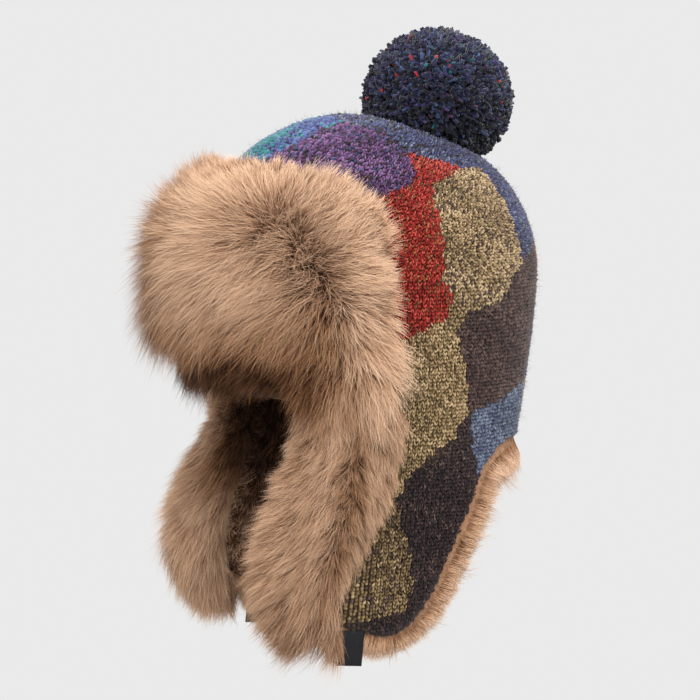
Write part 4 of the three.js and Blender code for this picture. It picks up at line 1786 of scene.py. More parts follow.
@dataclass
class Patchwork:
    """Layout of the colour fields over one half of the crown; the other half swaps its yarns.

    Level is the height below the widest ring, and above it goes on to the gather.
    """

    dome_levels: float = 130.0
    ground: Yarn = Yarn.NAVY
    inside: Yarn = Yarn.DARK
    waver: float = 0.8
    spots: dict[str, tuple[float, float]] = field(
        default_factory=lambda: {
            **{"a": (88.0, 139.0), "b": (69.0, 144.0), "c": (54.0, 118.0), "d": (43.0, 80.0)},
            **{"e": (55.0, 56.0), "f": (79.0, 57.0), "g": (93.0, 97.0), "h": (105.0, 122.0)},
            **{"i": (126.0, 141.0), "j": (112.0, 127.0), "k": (122.0, 111.0), "l": (166.0, 127.0)},
            **{"m": (163.0, 153.0), "n": (139.0, 151.0), "o": (82.0, 48.0), "p": (102.0, 33.0)},
            **{"q": (150.0, 31.0), "r": (69.0, -10.0), "s": (57.0, -7.0), "t": (26.0, 6.0)},
            **{"u": (94.0, -42.0), "v": (20.0, -60.0), "w": (60.0, -60.0), "x": (76.5, -25.0)},
            **{"y": (150.0, -60.0), "z": (101.5, -59.0), "A": (91.0, -111.0), "B": (94.0, -128.0)},
            **{"C": (150.0, -141.0), "D": (150.0, -170.0), "E": (96.0, -170.0), "F": (50.0, -170.0)},
            **{"G": (20.0, 62.0), "H": (24.0, 95.0), "I": (170.0, 108.0), "J": (172.0, 122.0)},
            **{"K": (186.0, 122.0), "L": (186.0, 143.0), "M": (177.0, 141.0), "N": (186.0, 160.0)},
            **{"O": (12.0, 92.0), "P": (-6.0, 98.0), "Q": (8.0, 46.0), "R": (-6.0, 52.0)},
            **{"S": (13.0, 6.0), "T": (-6.0, 8.0), "U": (-6.0, -60.0), "V": (186.0, 36.0)},
            **{"W": (186.0, 100.0), "X": (73.5, 50.0), "Y": (77.0, 36.0), "Z": (71.5, 14.0)},
        }
    )
    patches: tuple[Patch, ...] = (
        Patch(Yarn.TEAL, "JKLM"),
        Patch(Yarn.BLUE, "lJMLNm"),
        Patch(Yarn.PURPLE, "kIJlmnij"),
        Patch(Yarn.RED, "iahgfopqIkj"),
        Patch(Yarn.BEIGE, "abcdeXfgh"),
        Patch(Yarn.BROWN, "HdeXYZrstG"),
        Patch(Yarn.OLIVE, "opqyzuxrZYXf"),
        Patch(Yarn.DENIM, "tsrwv"),
        Patch(Yarn.DARK, "rxuzABEFw"),
        Patch(Yarn.GOLD, "zyCBA"),
        Patch(Yarn.DARK, "BCDE"),
        Patch(Yarn.RUST, "HGQROP"),
        Patch(Yarn.NAVY, "GtSTRQ"),
        Patch(Yarn.OLIVE, "tvUTS"),
        Patch(Yarn.FOREST, "qVWI"),
    )
    melange: float = 0.3
    companions: tuple[tuple[Yarn, Yarn, Yarn], ...] = (
        *((Yarn.NAVY, Yarn.DENIM, Yarn.DARK), (Yarn.BLUE, Yarn.NAVY, Yarn.TEAL)),
        *((Yarn.TEAL, Yarn.BLUE, Yarn.TEAL), (Yarn.PURPLE, Yarn.DARK, Yarn.NAVY)),
        *((Yarn.RED, Yarn.RUST, Yarn.RED), (Yarn.BEIGE, Yarn.GOLD, Yarn.BROWN)),
        *((Yarn.BROWN, Yarn.DARK, Yarn.BROWN), (Yarn.OLIVE, Yarn.GOLD, Yarn.BEIGE)),
        *((Yarn.DENIM, Yarn.NAVY, Yarn.DENIM), (Yarn.DARK, Yarn.BROWN, Yarn.DARK)),
        *((Yarn.GOLD, Yarn.BROWN, Yarn.OLIVE), (Yarn.RUST, Yarn.RED, Yarn.BROWN)),
        (Yarn.FOREST, Yarn.TEAL, Yarn.OLIVE),
    )
    swaps: tuple[tuple[Yarn, Yarn], ...] = (
        *((Yarn.RED, Yarn.FOREST), (Yarn.BEIGE, Yarn.RUST), (Yarn.BROWN, Yarn.DENIM)),
        *((Yarn.OLIVE, Yarn.PURPLE), (Yarn.DENIM, Yarn.GOLD), (Yarn.PURPLE, Yarn.OLIVE)),
        *((Yarn.GOLD, Yarn.RED), (Yarn.RUST, Yarn.BROWN)),
    )

    def colours(self, bearing: Array, level: Array) -> Array:
        """Palette places of the patches at signed bearings and levels.

        Args:
            bearing: Signed bearings, negative on the right.
            level: Levels.

        Returns:
            Number of the yarn at each place.
        """
        shifted = level + self.waver * np.sin(bearing * 0.9) * np.sin(level * 0.31)
        turned = np.abs(bearing) + self.waver * np.sin(level * 0.43)
        found = np.full(bearing.shape, self.ground.index)
        for patch in self.patches:
            found[patch.holds(self.spots, turned, shifted)] = patch.yarn.index
        other = {a.index: b.index for a, b in self.swaps}
        swapped = np.array([other.get(i, i) for i in range(len(Yarn))])
        return np.where(bearing < 0.0, swapped[found], found)

    def mixed(self, index: Array, seed: int) -> Array:
        """Swaps some yarns for their companions, as spun heather does.

        Args:
            index: Numbers of the yarns.
            seed: Seed of the draw.

        Returns:
            Numbers of the yarns, some of them changed.
        """
        rng = np.random.default_rng(seed)
        table = np.zeros((len(Yarn), 2), int)
        for main, *others in self.companions:
            table[main.index] = [other.index for other in others]
        other = table[index, rng.integers(0, 2, len(index))]
        return np.where(rng.uniform(size=len(index)) < self.melange, other, index)

    @staticmethod
    def tone(index: Array) -> Array:
        """Middle of a yarn's column in the palette."""
        return (index + 0.5) / len(Yarn)


@dataclass
class CopyTree:
    """Geometry Nodes tree that sets a copy of a small form on every point of a mesh.

    The points carry out (the copy's Z), upward (its Y), size (its three sizes in metres), tone
    and ply (its place in the palette; on the pompom it is painted shade). The form carries
    across and along for its own map; along lifts the row towards the raised end of each copy,
    painted shade at its foot and, on a stitch, a painted highlight on its ridge.
    """

    name: str
    palette_columns: float
    along_gain: float = 0.3
    ply_spread: float = 0.6
    seed: int = 1

    def build(self) -> NodeTree:
        """Makes the tree with its named inputs.

        Returns:
            The tree.
        """
        sizes = ("Column Width", "Along Gain", "Ply Spread")
        graph, take = new_tree(self.name, {"Form": "Object", **dict.fromkeys(sizes, "Float")})
        out, upward, size = (graph.attribute(name, "FLOAT_VECTOR") for name in ("out", "upward", "size"))
        settings = {"primary_axis": "Z", "secondary_axis": "Y"}
        turn = graph.wire("FunctionNodeAxesToRotation", 0, settings, {0: out, 1: upward})
        form = graph.wire("GeometryNodeObjectInfo", "Geometry", None, {0: take["Form"], 1: False})
        sockets = {"Points": take["Geometry"], "Instance": form, "Rotation": turn, "Scale": size}
        copies = graph.wire("GeometryNodeInstanceOnPoints", 0, None, sockets)
        ply = graph.attribute("ply") + graph.chance(-0.5, 0.5, take["Seed"]) * take["Ply Spread"]
        copies = graph.kept(copies, "ply", ply, domain="INSTANCE")
        whole = graph.wire("GeometryNodeRealizeInstances", 0, None, {0: copies})
        column = graph.attribute("tone") + graph.attribute("across") * take["Column Width"]
        row = graph.attribute("ply") + graph.attribute("along") * take["Along Gain"]
        row = graph.wire("ShaderNodeClamp", 0, None, {0: row, 1: 0.02, 2: 0.98})
        mapped = graph.kept(whole, PALETTE_UV, graph.vector(column, row), "FLOAT2", "CORNER")
        smoothed = graph.wire("GeometryNodeSetShadeSmooth", 0, None, {0: mapped})
        return graph.end(smoothed, take["Material"])

    def apply(self, points: Piece, form: Piece, material: Material) -> Piece:
        """Sets the copies on the points and keeps them as a plain mesh.

        Args:
            points: Object whose mesh is the points.
            form: Object that is copied; it is removed afterwards.
            material: Finish of the piece.

        Returns:
            The object of the points with its new mesh.
        """
        values = {
            "Form": form,
            "Column Width": 0.5 / self.palette_columns,
            "Along Gain": self.along_gain,
            "Ply Spread": self.ply_spread,
            "Seed": self.seed,
            "Material": material,
        }
        run_tree(points, self.build(), values)
        bpy.data.objects.remove(form)
        return points


def copy_points(name: str, places: Array, fields: dict[str, Array]) -> Piece:
    """Makes an object of loose points that carry values.

    Args:
        name: Name of the object.
        places: Points in millimetres.
        fields: Values by the name of their attribute.

    Returns:
        The object.
    """
    made = mesh_object(name, places, [])
    for label, values in fields.items():
        store(made.data, label, values)
    return made


def dome_shell(name: str, form: CrownForm, lines: Array, near: float, far: float) -> Piece:
    """Makes a closed shell under the outer face, open below.

    Args:
        name: Name of the object.
        form: Outer face.
        lines: Points of the outer face, ring by ring from the gather down.
        near: Depth of the shell's outer side.
        far: Depth of its inner side.

    Returns:
        The object.
    """
    count = lines.shape[1]
    outer = form.offset(lines, -near).reshape(-1, 3)
    inner = form.offset(lines, -far)[::-1].reshape(-1, 3)
    gather = form.dome(np.zeros(1), np.zeros(1))
    points = np.concatenate([outer, inner, form.offset(gather, -near), form.offset(gather, -far)])
    return closed_rings(name, points, count)


def closed_rings(name: str, points: Array, count: int) -> Piece:
    """Makes a closed mesh of rings with a point at each end.

    Args:
        name: Name of the object.
        points: Rings one after another, then the first end and the last end.
        count: Points in a ring.

    Returns:
        The object, its faces turned outwards.
    """
    last = len(points) - 2 - count
    i = np.arange(count)
    beside = (i + 1) % count
    faces = [[len(points) - 2, a, b] for a, b in zip(i, beside)]
    faces += [[len(points) - 1, last + b, last + a] for a, b in zip(i, beside)]
    for start in range(0, last, count):
        quads = np.stack([i, i + count, beside + count, beside], axis=-1) + start
        faces += quads.tolist()
    made = mesh_object(name, points, [[int(n) for n in face] for face in faces])
    turn_outwards(made.data)
    return made


def turn_outwards(mesh: Mesh) -> None:
    """Turns the faces of a closed mesh outwards.

    Args:
        mesh: Closed mesh.
    """
    work = bmesh.new()
    work.from_mesh(mesh)
    if work.calc_volume(signed=True) < 0.0:
        bmesh.ops.reverse_faces(work, faces=work.faces)
    work.to_mesh(mesh)
    work.free()
    mesh.update()


@dataclass
class KnitCrown:
    """Knitted shell of the crown and flaps: a felted ground in the yarns' dark plies, painted shade between
    the stitches, its stitches and its fuzz.
    """

    form: CrownForm
    edge: KnitEdge
    patchwork: Patchwork
    thickness: float = 4.0
    ground_depth: float = 1.3
    columns: int = 144
    dome_rows: int = 24
    wall_rows: int = 9
    drop_rows: int = 15
    bands: tuple[tuple[float, int], ...] = ((0.22, 70), (0.3, 104), (0.44, 156), (0.62, 208))
    course: float = 2.2
    dome_course: float = 1.7
    leg_lean: float = 0.45
    leg_shift: float = 0.24
    leg_width: float = 0.48
    leg_length: float = 1.62
    stitch_rise: float = 1.2
    unevenness: float = 0.17
    drift: float = 0.2
    seed: int = 43
    edge_margin: float = 1.1
    look_step: float = 0.5
    fuzz_count: int = 24000
    fuzz_length: float = 3.2
    ground_shade_ply: float = 0.03
    visor_cover: tuple[float, float, float] = (119.0, -10.0, 110.0)
    trim_cover: tuple[float, float, float] = (118.0, -95.0, 5.0)

    def place(self, ring: Array, level: Array) -> tuple[Array, Array]:
        """Points of the outer face at ring bearings and levels.

        Args:
            ring: Bearings where the columns of stitches cross the brow ring.
            level: Levels.

        Returns:
            The points and their own bearings.
        """
        ring, level = np.broadcast_arrays(ring, level)
        ends = self.edge.below_ring(ring)
        below = (self.form.brow_z - level) / (self.form.brow_z - ends[..., 1])
        bearing = blend(ring, ends[..., 0], np.clip(below, 0.0, 1.0))
        low = self.form.wall(bearing, np.minimum(level, self.form.widest_z))
        share = 1.0 - np.maximum(0.0, level - self.form.widest_z) / self.patchwork.dome_levels
        high = self.form.dome(ring, share)
        return np.where((level > self.form.widest_z)[..., None], high, low), bearing

    def ground(self, material: Material) -> Piece:
        """Makes the ground of the knit with its fuzz.

        Args:
            material: Finish of the piece.

        Returns:
            The object.
        """
        share = np.linspace(-1.0, 1.0, self.columns, endpoint=False)
        station = self.edge.station(share)
        dome = self.patchwork.dome_levels
        high = self.form.widest_z + dome * np.arange(1, self.dome_rows + 1)[::-1] / self.dome_rows
        middle = np.linspace(self.form.widest_z, self.form.brow_z, self.wall_rows, endpoint=False)
        down = np.linspace(0.0, 1.0, self.drop_rows)[:, None]
        low = blend(self.form.brow_z, station[:, 2], down)
        lines = np.concatenate([high, middle])[:, None]
        levels = np.concatenate([np.broadcast_to(lines, (len(lines), self.columns)), low])[1:]
        points, turns = self.place(station[:, 0], levels)
        made = dome_shell("knit_crown_ground", self.form, points, self.ground_depth, self.thickness)
        mesh = made.data
        rows = len(levels)
        number = np.array([min(p.vertices) for p in mesh.polygons])
        row = np.minimum(number // self.columns, rows - 1)
        column = number % self.columns
        outer = number < (rows - 1) * self.columns
        shown = self.patchwork.colours(turns[row, column], levels[row, column])
        # The knit's inner face takes the dark yarn, painted shade in the gaps where it shows.
        colour = np.where(outer, shown, self.patchwork.inside.index)
        tone = self.patchwork.tone(colour)
        # The ground takes the dark ply of each patch, painted shade in the gaps between the stitches.
        map_faces(mesh, np.stack([tone, np.full_like(tone, self.ground_shade_ply)], axis=-1), 0.01)
        rises = np.array([p.normal for p in mesh.polygons])
        store(mesh, "grow", outer.astype(float), "FACE")
        store(mesh, "tone", (tone - TONE_START) / TONE_REACH, "FACE")
        store(mesh, "rise", rises, "FACE")
        store(mesh, "lie", rises * self.fuzz_length * MM, "FACE")
        area = sum(p.area for p, on in zip(mesh.polygons, outer) if on)
        look = {"arch": 0.3, "jitter": 1.1, "clump_pull": 0.0, "tone_spread": 0.0, "length_spread": 0.6}
        strands = StrandTree("Knit fuzz", self.fuzz_count / area, 0.0002, seed=41, **look)
        strands.apply(made, material)
        settle(made, "knit_crown")
        return made

    @staticmethod
    def leg_form() -> Piece:
        """Makes one leg of a stitch: a raised grain, one wide and one long.

        Returns:
            The object that is copied.
        """
        points = [(0.0, -0.5, -0.25), (-0.5, -0.05, -0.2), (0.0, 0.5, -0.25), (0.5, 0.05, -0.2)]
        points.append((0.0, 0.0, 1.0))
        faces = [[0, 4, 1], [1, 4, 2], [2, 4, 3], [3, 4, 0]]
        form = mesh_object("stitch_leg_form", np.array(points) / MM, faces)
        store(form.data, "across", np.array([0.0, -0.3, 0.0, 0.3, 0.0]))
        # The map's row rises from the sunk sides of the leg to its raised ridge: painted shade at the sides
        # and a painted highlight on the ridge.
        store(form.data, "along", np.array([-0.9, -1.0, -0.6, -1.0, 0.7]))
        return form

    def _hidden(self, bearing: Array, level: Array) -> Array:
        """Whether places lie well under the visor or a trim.

        Args:
            bearing: Signed bearings.
            level: Levels.

        Returns:
            True for each hidden place.
        """
        hidden = np.zeros(bearing.shape, bool)
        for least, low, high in (self.visor_cover, self.trim_cover):
            hidden |= (np.abs(bearing) > least) & (level > low) & (level < high)
        return hidden

    def _courses(self) -> tuple[Array, Array, Array]:
        """Ring bearings, levels and wale widths in degrees of every stitch, course by course.

        Returns:
            The three values of each stitch.
        """
        fine = np.linspace(-180.0, 180.0, 2881)
        ring = self.form.wall(fine, np.full_like(fine, self.form.widest_z))
        run = np.concatenate([[0.0], np.cumsum(np.linalg.norm(np.diff(ring, axis=0), axis=1))])
        dome = self.patchwork.dome_levels
        top = self.form.widest_z + dome * (1.0 - self.bands[0][0])
        levels = [*np.arange(top, self.form.widest_z, -self.dome_course)]
        levels += [*np.arange(self.form.widest_z, self.edge.curve[:, 2].min(), -self.course)]
        rings = []
        heights = []
        widths = []
        for level in levels:
            share = 1.0 - (level - self.form.widest_z) / dome
            wales = [count for least, count in self.bands if share > least - 1e-6][-1]
            spots = np.linspace(0.0, run[-1], wales, endpoint=False)
            rings.append(np.interp(spots, run, fine))
            heights.append(np.full(wales, level))
            widths.append(np.full(wales, 360.0 / wales))
        return np.concatenate(rings), np.concatenate(heights), np.concatenate(widths)

    def stitches(self, material: Material) -> Piece:
        """Makes the stitches that show, two legs each.

        Args:
            material: Finish of the piece.

        Returns:
            The object.
        """
        ring, level, spread = self._courses()
        foot, bearing = self.place(ring, level)
        ends = self.edge.below_ring(ring)
        keep = (level > ends[:, 1] + self.edge_margin) & ~self._hidden(bearing, level)
        ring, level, spread, foot, bearing = (v[keep] for v in (ring, level, spread, foot, bearing))
        step = self.look_step
        course = np.where(level > self.form.widest_z, self.dome_course, self.course)
        upward = self.place(ring, level + step)[0] - self.place(ring, level - step)[0]
        upward = upward * (course / (2.0 * step))[:, None]
        beside = self.place(ring + step, level)[0] - self.place(ring - step, level)[0]
        beside = beside * (spread / (2.0 * step))[:, None]
        normal = self.form.normal(foot)
        around = np.cross(upward, normal)
        around = around * np.sign(np.einsum("ij,ij->i", around, beside))[:, None]
        width = np.linalg.norm(beside, axis=-1)
        height = np.linalg.norm(upward, axis=-1)
        colour = self.patchwork.colours(bearing, level)
        around = unit(around)
        rng = np.random.default_rng(self.seed)
        fields = {"out": [], "upward": [], "size": [], "tone": [], "ply": []}
        places = []
        for side in (-1.0, 1.0):
            moved = foot + around * (side * self.leg_shift * width)[:, None]
            moved = moved + rng.normal(0.0, self.drift, moved.shape) * [1.0, 1.0, 1.4]
            places.append(self.form.offset(moved, 0.0))
            fields["out"].append(normal)
            lean = side * self.leg_lean + rng.normal(0.0, self.unevenness, len(width))
            fields["upward"].append(unit(upward) + around * lean[:, None])
            size = [width * self.leg_width, height * self.leg_length, np.full_like(width, self.stitch_rise)]
            size = np.stack(size, axis=-1)
            fields["size"].append(size * rng.normal(1.0, self.unevenness, size.shape) * MM)
            fields["tone"].append(self.patchwork.tone(self.patchwork.mixed(colour, self.seed + int(side))))
            fields["ply"].append(self._ply(foot))
        joined = {label: np.concatenate(values) for label, values in fields.items()}
        made = copy_points("knit_crown_stitches", np.concatenate(places), joined)
        tree = CopyTree("Stitches", float(len(Yarn)), along_gain=0.42, ply_spread=0.75, seed=self.seed)
        tree.apply(made, self.leg_form(), material)
        settle(made, "knit_crown")
        return made

    @staticmethod
    def _ply(points: Array) -> Array:
        """Slow drift of the heather over the knit.

        Args:
            points: Points of the knit.

        Returns:
            Row of the palette at each point.
        """
        x, y, z = np.moveaxis(points, -1, 0)
        drift = np.sin(x * 0.13 + 2.0 * np.sin(z * 0.07)) + np.sin(y * 0.11 + z * 0.17)
        return 0.5 + 0.09 * drift


@dataclass
class CrownLining:
    """Fleece lining inside the crown, down to the brow ring."""

    form: CrownForm
    near: float = 4.8
    thickness: float = 3.0
    columns: int = 72
    dome_rows: int = 20
    wall_rows: int = 6

    def build(self, material: Material) -> Piece:
        """Makes the lining.

        Args:
            material: Finish of the piece.

        Returns:
            The object.
        """
        turn = np.linspace(-180.0, 180.0, self.columns, endpoint=False)
        shares = np.arange(1, self.dome_rows + 1) / self.dome_rows
        heights = np.linspace(self.form.widest_z, self.form.brow_z, self.wall_rows + 1)[1:]
        high = self.form.dome(turn, np.broadcast_to(shares[:, None], (len(shares), self.columns)))
        low = self.form.wall(turn, np.broadcast_to(heights[:, None], (len(heights), self.columns)))
        lines = np.concatenate([high, low])
        made = dome_shell("crown_lining_fleece", self.form, lines, self.near, self.near + self.thickness)
        made.data.materials.append(material)
        settle(made, "crown_lining")
        return made


@dataclass
class Pompom:
    """Round pompom of cut yarn: a core in painted shade and tufts of thick cut ends."""

    form: CrownForm
    y: float = 50.0
    z: float = 175.5
    radius: float = 46.0
    flatness: float = 0.95
    core_share: float = 0.66
    ends: int = 17000
    tufts: int = 180
    tuft_pull: float = 0.62
    stray: float = 0.34
    wild: float = 2.0
    wild_share: float = 0.25
    root_share: float = 0.62
    heights: tuple[float, float] = (0.88, 1.02)
    tuft_heights: tuple[float, float] = (0.95, 1.04)
    end_width: float = 2.45
    columns: int = 44
    rows: int = 26
    lift: float = 1.6
    skeins: int = 620
    skein_share: float = 0.85
    palette_span: tuple[float, float] = (0.01, 0.985)
    low_shade: float = 0.85
    low_part: Fade = Fade(-0.1, 0.65)
    tuft_shade: float = 0.6
    end_jitter: float = 0.02
    tuft_lean: float = 0.35
    width_spread: tuple[float, float] = (0.7, 1.3)
    seed: int = 7

    def _centre(self) -> Array:
        """Centre of the ball."""
        return np.array([0.0, self.y, self.z])

    def _clear(self, points: Array) -> Array:
        """Height of points above the crown, less the lift that they keep."""
        return points[..., 2] - self.form.top_height(points[..., 0], points[..., 1]) - self.lift

    def core(self, material: Material) -> Piece:
        """Makes the core that shows between the ends, in the painted shade of the yarn's roots.

        Args:
            material: Finish of the piece.

        Returns:
            The object.
        """
        polar = np.linspace(0.0, np.pi, self.rows)[1:-1, None]
        turn = np.linspace(0.0, 2.0 * np.pi, self.columns, endpoint=False)
        level = [np.sin(polar) * np.cos(turn), np.sin(polar) * np.sin(turn)]
        ball = np.stack([*level, np.broadcast_to(np.cos(polar), level[0].shape)], axis=-1).reshape(-1, 3)
        ball = np.concatenate([ball, [(0.0, 0.0, 1.0), (0.0, 0.0, -1.0)]])
        points = self._centre() + ball * np.array([1.0, 1.0, self.flatness]) * self.radius * self.core_share
        points[:, 2] -= np.minimum(0.0, self._clear(points))
        made = closed_rings("pompom_core", points, self.columns)
        # The core takes the foot of the palette, the painted shade colour.
        map_faces(made.data, np.full((len(made.data.polygons), 2), 0.02), 0.01)
        made.data.materials.append(material)
        settle(made, "pompom")
        return made

    def _skeins(self, rng: np.random.Generator, ball: Array) -> Array:
        """Palette places of the yarn ends, mostly shared by the few ends of one skein.

        Args:
            rng: Source of the random draws.
            ball: Directions of the ends.

        Returns:
            Column of the palette for each end.
        """
        heads = unit(rng.normal(0.0, 1.0, (self.skeins, 3)))
        skein = np.argmax(ball @ heads.T, axis=1)
        shared = rng.uniform(*self.palette_span, self.skeins)[skein]
        own = rng.uniform(*self.palette_span, len(ball))
        return np.where(rng.uniform(size=len(ball)) < self.skein_share, shared, own)

    @staticmethod
    def end_form() -> Piece:
        """Makes one cut end of yarn, one long and wide at the cut.

        Returns:
            The object that is copied.
        """
        sides = 3
        points = []
        along = []
        for height, width in ((0.0, 0.6), (1.0, 1.0)):
            for k in range(sides):
                angle = 2.0 * math.pi * k / sides + height * 0.6
                points.append((math.cos(angle) * width / 2.0, math.sin(angle) * width / 2.0, height))
                along.append(height)
        faces = [[k, (k + 1) % sides, sides + (k + 1) % sides, sides + k] for k in range(sides)]
        faces.append([sides + k for k in range(sides)])
        form = mesh_object("yarn_end_form", np.array(points) / MM, faces)
        store(form.data, "across", np.zeros(len(points)))
        # along runs from the root, in painted shade, to the cut end in the yarn's own colour.
        store(form.data, "along", np.array(along))
        return form

    def yarn(self, material: Material) -> Piece:
        """Makes the thick cut ends of the yarn, leaning together in tufts.

        Args:
            material: Finish of the piece.

        Returns:
            The object.
        """
        rng = np.random.default_rng(self.seed)
        number = np.arange(self.ends) + 0.5
        height = 1.0 - 2.0 * number / self.ends
        turn = np.pi * (1.0 + math.sqrt(5.0)) * number
        level = np.sqrt(np.maximum(0.0, 1.0 - height**2))
        ball = np.stack([level * np.cos(turn), level * np.sin(turn), height], axis=-1)
        ball = unit(ball + rng.normal(0.0, self.end_jitter, ball.shape))
        heads = unit(rng.normal(0.0, 1.0, (self.tufts, 3)))
        tuft = np.argmax(ball @ heads.T, axis=1)
        squash = np.array([1.0, 1.0, self.flatness])
        start = self._centre() + ball * squash * self.radius * self.root_share
        height_of = rng.uniform(*self.tuft_heights, self.tufts)[tuft]
        reach = self.radius * rng.uniform(*self.heights, self.ends) * height_of
        lean = heads[tuft] + rng.normal(0.0, self.tuft_lean, heads.shape)[tuft]
        stray = self.stray * np.where(rng.uniform(size=(self.ends, 1)) < self.wild_share, self.wild, 1.0)
        aim = unit(ball + (lean - ball) * self.tuft_pull + rng.normal(0.0, 1.0, ball.shape) * stray)
        tips = self._centre() + aim * squash * reach[:, None]
        length = np.linalg.norm(tips - start, axis=-1)
        out = unit(tips - start)
        clear = (self._clear(tips) > 0.0) & (self._clear(start) > 0.0)
        width = self.end_width * rng.uniform(*self.width_spread, self.ends)
        # Painted shade: each tuft gets its own depth of shade, and the ball darkens towards its low side.
        shade = rng.uniform(0.0, 1.0, self.tufts)[tuft]
        fields = {
            "out": out,
            "upward": np.cross(out, rng.normal(0.0, 1.0, ball.shape)),
            "size": np.stack([width, width, length], axis=-1) * MM,
            "tone": self._skeins(rng, ball),
            "ply": -self.low_shade * self.low_part(-ball[:, 2]) - self.tuft_shade * shade,
        }
        made = copy_points("pompom_yarn_ends", start[clear], {k: v[clear] for k, v in fields.items()})
        tree = CopyTree("Yarn ends", 100.0, along_gain=0.97, ply_spread=0.3, seed=53)
        tree.apply(made, self.end_form(), material)
        settle(made, "pompom")
        return made


@dataclass
class FlapTab:
    """Plain tab of woven tape sewn under the low edge of a flap."""

    form: CrownForm
    edge: KnitEdge
    bearing: float = 120.0
    width: float = 17.0
    drop: float = 21.0
    thickness: float = 1.2
    gap: float = 0.5
    columns: int = 18
    rows: int = 22
    bow: float = 0.32
    rim: float = 0.3
    hang: float = 0.7
    proud: float = 1.5
    tip_samples: int = 700

    def build(self, side: int, material: Material) -> Piece:
        """Makes the tab of one flap.

        Args:
            side: 1 for the left flap, -1 for the right one.
            material: Finish of the tape.

        Returns:
            The object.
        """
        last = self.tip_samples
        share = float(np.interp(self.bearing, self.edge.curve[:last, 1], self.edge.along[:last]))
        here = self.edge.station(np.array([share]))[0]
        rim = self.form.wall(here[1], here[2])
        normal = self.form.normal(rim[None])[0]
        beyond = unit(blend(self.edge.outward(np.array([share]))[0], np.array([0.0, 0.0, -1.0]), self.hang))
        along = np.cross(beyond, normal)
        u, v = spans((-1.0, 1.0, self.columns), (0.0, 1.0, self.rows))
        pinch = np.maximum(np.abs(u) ** 8, np.maximum(v**12, (1.0 - v) ** 12))
        half = blend(self.thickness / 2.0, self.rim / 2.0, pinch)
        bow = self.bow * (1.0 - u**2) * np.sin(np.pi * v)
        middle = rim + along * (u * self.width / 2.0)[..., None]
        middle = middle + beyond * (self.gap + v * self.drop)[..., None]
        middle = middle + normal * (bow - self.thickness / 2.0 + self.proud * v)[..., None]
        front = (middle + normal * half[..., None]).reshape(-1, 3)
        rear = (middle - normal * half[..., None]).reshape(-1, 3)
        mirror = np.array([side, 1.0, 1.0])
        points = np.concatenate([front, rear]) * mirror
        name = "left" if side > 0 else "right"
        made = mesh_object(f"flap_tab_{name}_tape", points, slab_faces(self.columns, self.rows))
        turn_outwards(made.data)
        made.data.materials.append(material)
        settle(made, f"flap_tab_{name}")
        return made


@dataclass(frozen=True)
class PaleFinish(Finish):
    """Even pale surface that the lamps leave as it is."""

    name: str = "pale_floor"
    roughness: float = 1.0
    specular: float = 0.0
    sheen: float = 0.0
    shade: tuple[float, float, float] = paint(234, 234, 234)

    def dress(self, graph: Graph, shader: bpy.types.Node) -> None:
        """Gives the surface its own light.

        Args:
            graph: Graph of the material; not used.
            shader: Surface shader of the material.
        """
        shader.inputs["Base Color"].default_value = (0.0, 0.0, 0.0, 1.0)
        shader.inputs["Emission Color"].default_value = (*self.shade, 1.0)
        shader.inputs["Emission Strength"].default_value = 1.0


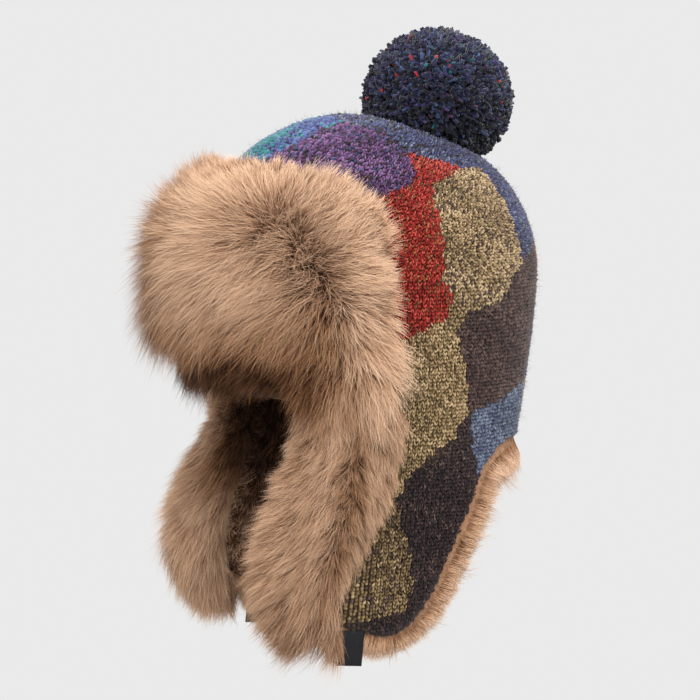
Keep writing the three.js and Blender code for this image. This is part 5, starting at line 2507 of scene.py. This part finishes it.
@dataclass
class Studio:
    """Pale floor that runs up into a plain surround, soft lamps, and the camera."""

    floor_z: float = -1.0
    surround: float = 4.5
    flat_reach: float = 2.4
    bends: int = 12
    dome_foot: float = 1.1
    turns: int = 64
    hub: float = 0.02
    dome_angles: tuple[float, float, int] = (0.1, 1.5, 9)
    lamp_distance: float = 2.0
    lamp_target: float = 0.02
    lamps: tuple[tuple[str, float, float, float, float], ...] = (
        ("key_lamp", 84.0, 38.0, 1.5, 44.0),
        ("fill_lamp", 15.0, 25.0, 1.6, 16.0),
        ("rear_lamp", 215.0, 50.0, 1.2, 14.0),
    )
    backdrop: tuple[float, float, float] = paint(234, 234, 234)
    ambient: float = 0.8
    azimuth: float = 65.0
    elevation: float = 6.0
    distance: float = 1.5
    frame_width: float = 0.434
    sensor: float = 36.0
    shift: tuple[float, float] = (-0.02, 0.05)

    def direction(self, azimuth: float, elevation: float) -> Vector:
        """Direction from the hat towards a viewer.

        Args:
            azimuth: Degrees round from the front.
            elevation: Degrees above level.

        Returns:
            Direction one long.
        """
        a = math.radians(azimuth)
        e = math.radians(elevation)
        return Vector((math.sin(a) * math.cos(e), -math.cos(a) * math.cos(e), math.sin(e)))

    def camera(self) -> Piece:
        """Makes the camera.

        Returns:
            The camera object.
        """
        data = bpy.data.cameras.new("camera")
        data.sensor_width = self.sensor
        data.lens = self.sensor * self.distance / self.frame_width
        data.shift_x, data.shift_y = self.shift
        made = bpy.data.objects.new("camera", data)
        toward = self.direction(self.azimuth, self.elevation)
        made.location = toward * self.distance
        made.rotation_euler = toward.to_track_quat("Z", "Y").to_euler()
        bpy.context.scene.collection.objects.link(made)
        bpy.context.scene.camera = made
        return made

    def lamp(self, name: str, azimuth: float, elevation: float, size: float, power: float) -> None:
        """Makes a soft square lamp that faces the hat.

        Args:
            name: Name of the lamp.
            azimuth: Direction in degrees, as the camera's.
            elevation: Height in degrees.
            size: Side in metres.
            power: Power in watts.
        """
        data = bpy.data.lights.new(name, "AREA")
        data.size = size
        data.energy = power
        made = bpy.data.objects.new(name, data)
        toward = self.direction(azimuth, elevation)
        made.location = toward * self.lamp_distance + Vector((0.0, 0.0, self.lamp_target))
        made.rotation_euler = toward.to_track_quat("Z", "Y").to_euler()
        made.visible_camera = False
        bpy.context.scene.collection.objects.link(made)

    def floor(self) -> None:
        """Makes the floor and its surround, seen by the camera alone."""
        profile = [(self.hub, self.floor_z), (self.flat_reach, self.floor_z)]
        reach = self.surround - self.flat_reach
        for k in range(1, self.bends + 1):
            angle = math.radians(90.0 / self.bends * k)
            rise = reach * (1.0 - math.cos(angle))
            profile.append((self.flat_reach + reach * math.sin(angle), self.floor_z + rise))
        for angle in np.linspace(*self.dome_angles):
            height = self.dome_foot + self.surround * math.sin(angle)
            profile.append((self.surround * math.cos(angle), height))
        turns = self.turns
        angles = [2.0 * math.pi * k / turns for k in range(turns)]
        points = [(r * math.cos(a), r * math.sin(a), z) for r, z in profile for a in angles]
        last = len(points) - turns
        faces = []
        for here in range(0, last, turns):
            for k in range(turns):
                beside = (k + 1) % turns
                faces.append([here + k, here + beside, here + turns + beside, here + turns + k])
        faces.append(list(range(turns)))
        faces.append([last + k for k in range(turns)])
        made = mesh_object("floor", np.array(points) / MM, faces)
        made.data.materials.append(PaleFinish(shade=self.backdrop).build())
        for ray in ("diffuse", "glossy", "transmission", "shadow", "volume_scatter"):
            setattr(made, f"visible_{ray}", False)

    def build(self) -> None:
        """Makes the camera, the floor, the lamps and the ambient light."""
        self.camera()
        self.floor()
        for lamp in self.lamps:
            self.lamp(*lamp)
        world = bpy.data.worlds.new("ambient")
        world.use_nodes = True
        back = world.node_tree.nodes["Background"]
        back.inputs["Color"].default_value = (*self.backdrop, 1.0)
        back.inputs["Strength"].default_value = self.ambient
        bpy.context.scene.world = world
        bpy.context.scene.view_settings.view_transform = "Standard"


def main() -> None:
    """Loads the part and dresses it piece by piece."""
    logging.basicConfig(level=logging.INFO, format="%(message)s")
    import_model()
    Studio().build()
    form = CrownForm()
    edge = KnitEdge(form)
    fur = FurFinish().build()
    knit = KnitFinish().build()
    yarn = PompomFinish().build()
    crown = KnitCrown(form, edge, Patchwork())
    crown.ground(knit)
    crown.stitches(knit)
    CrownLining(form).build(FleeceFinish().build())
    Visor(form).build(fur)
    trim = FlapTrim(form, edge)
    trim.build(1, fur)
    trim.build(-1, fur)
    lining = RimLining(form, edge)
    lining.build(fur)
    lining.build_fringe(fur)
    pompom = Pompom(form)
    pompom.core(yarn)
    pompom.yarn(yarn)
    tab = FlapTab(form, edge)
    tape = WovenFinish().build()
    tab.build(1, tape)
    tab.build(-1, tape)
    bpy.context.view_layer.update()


if __name__ == "__main__":
    main()
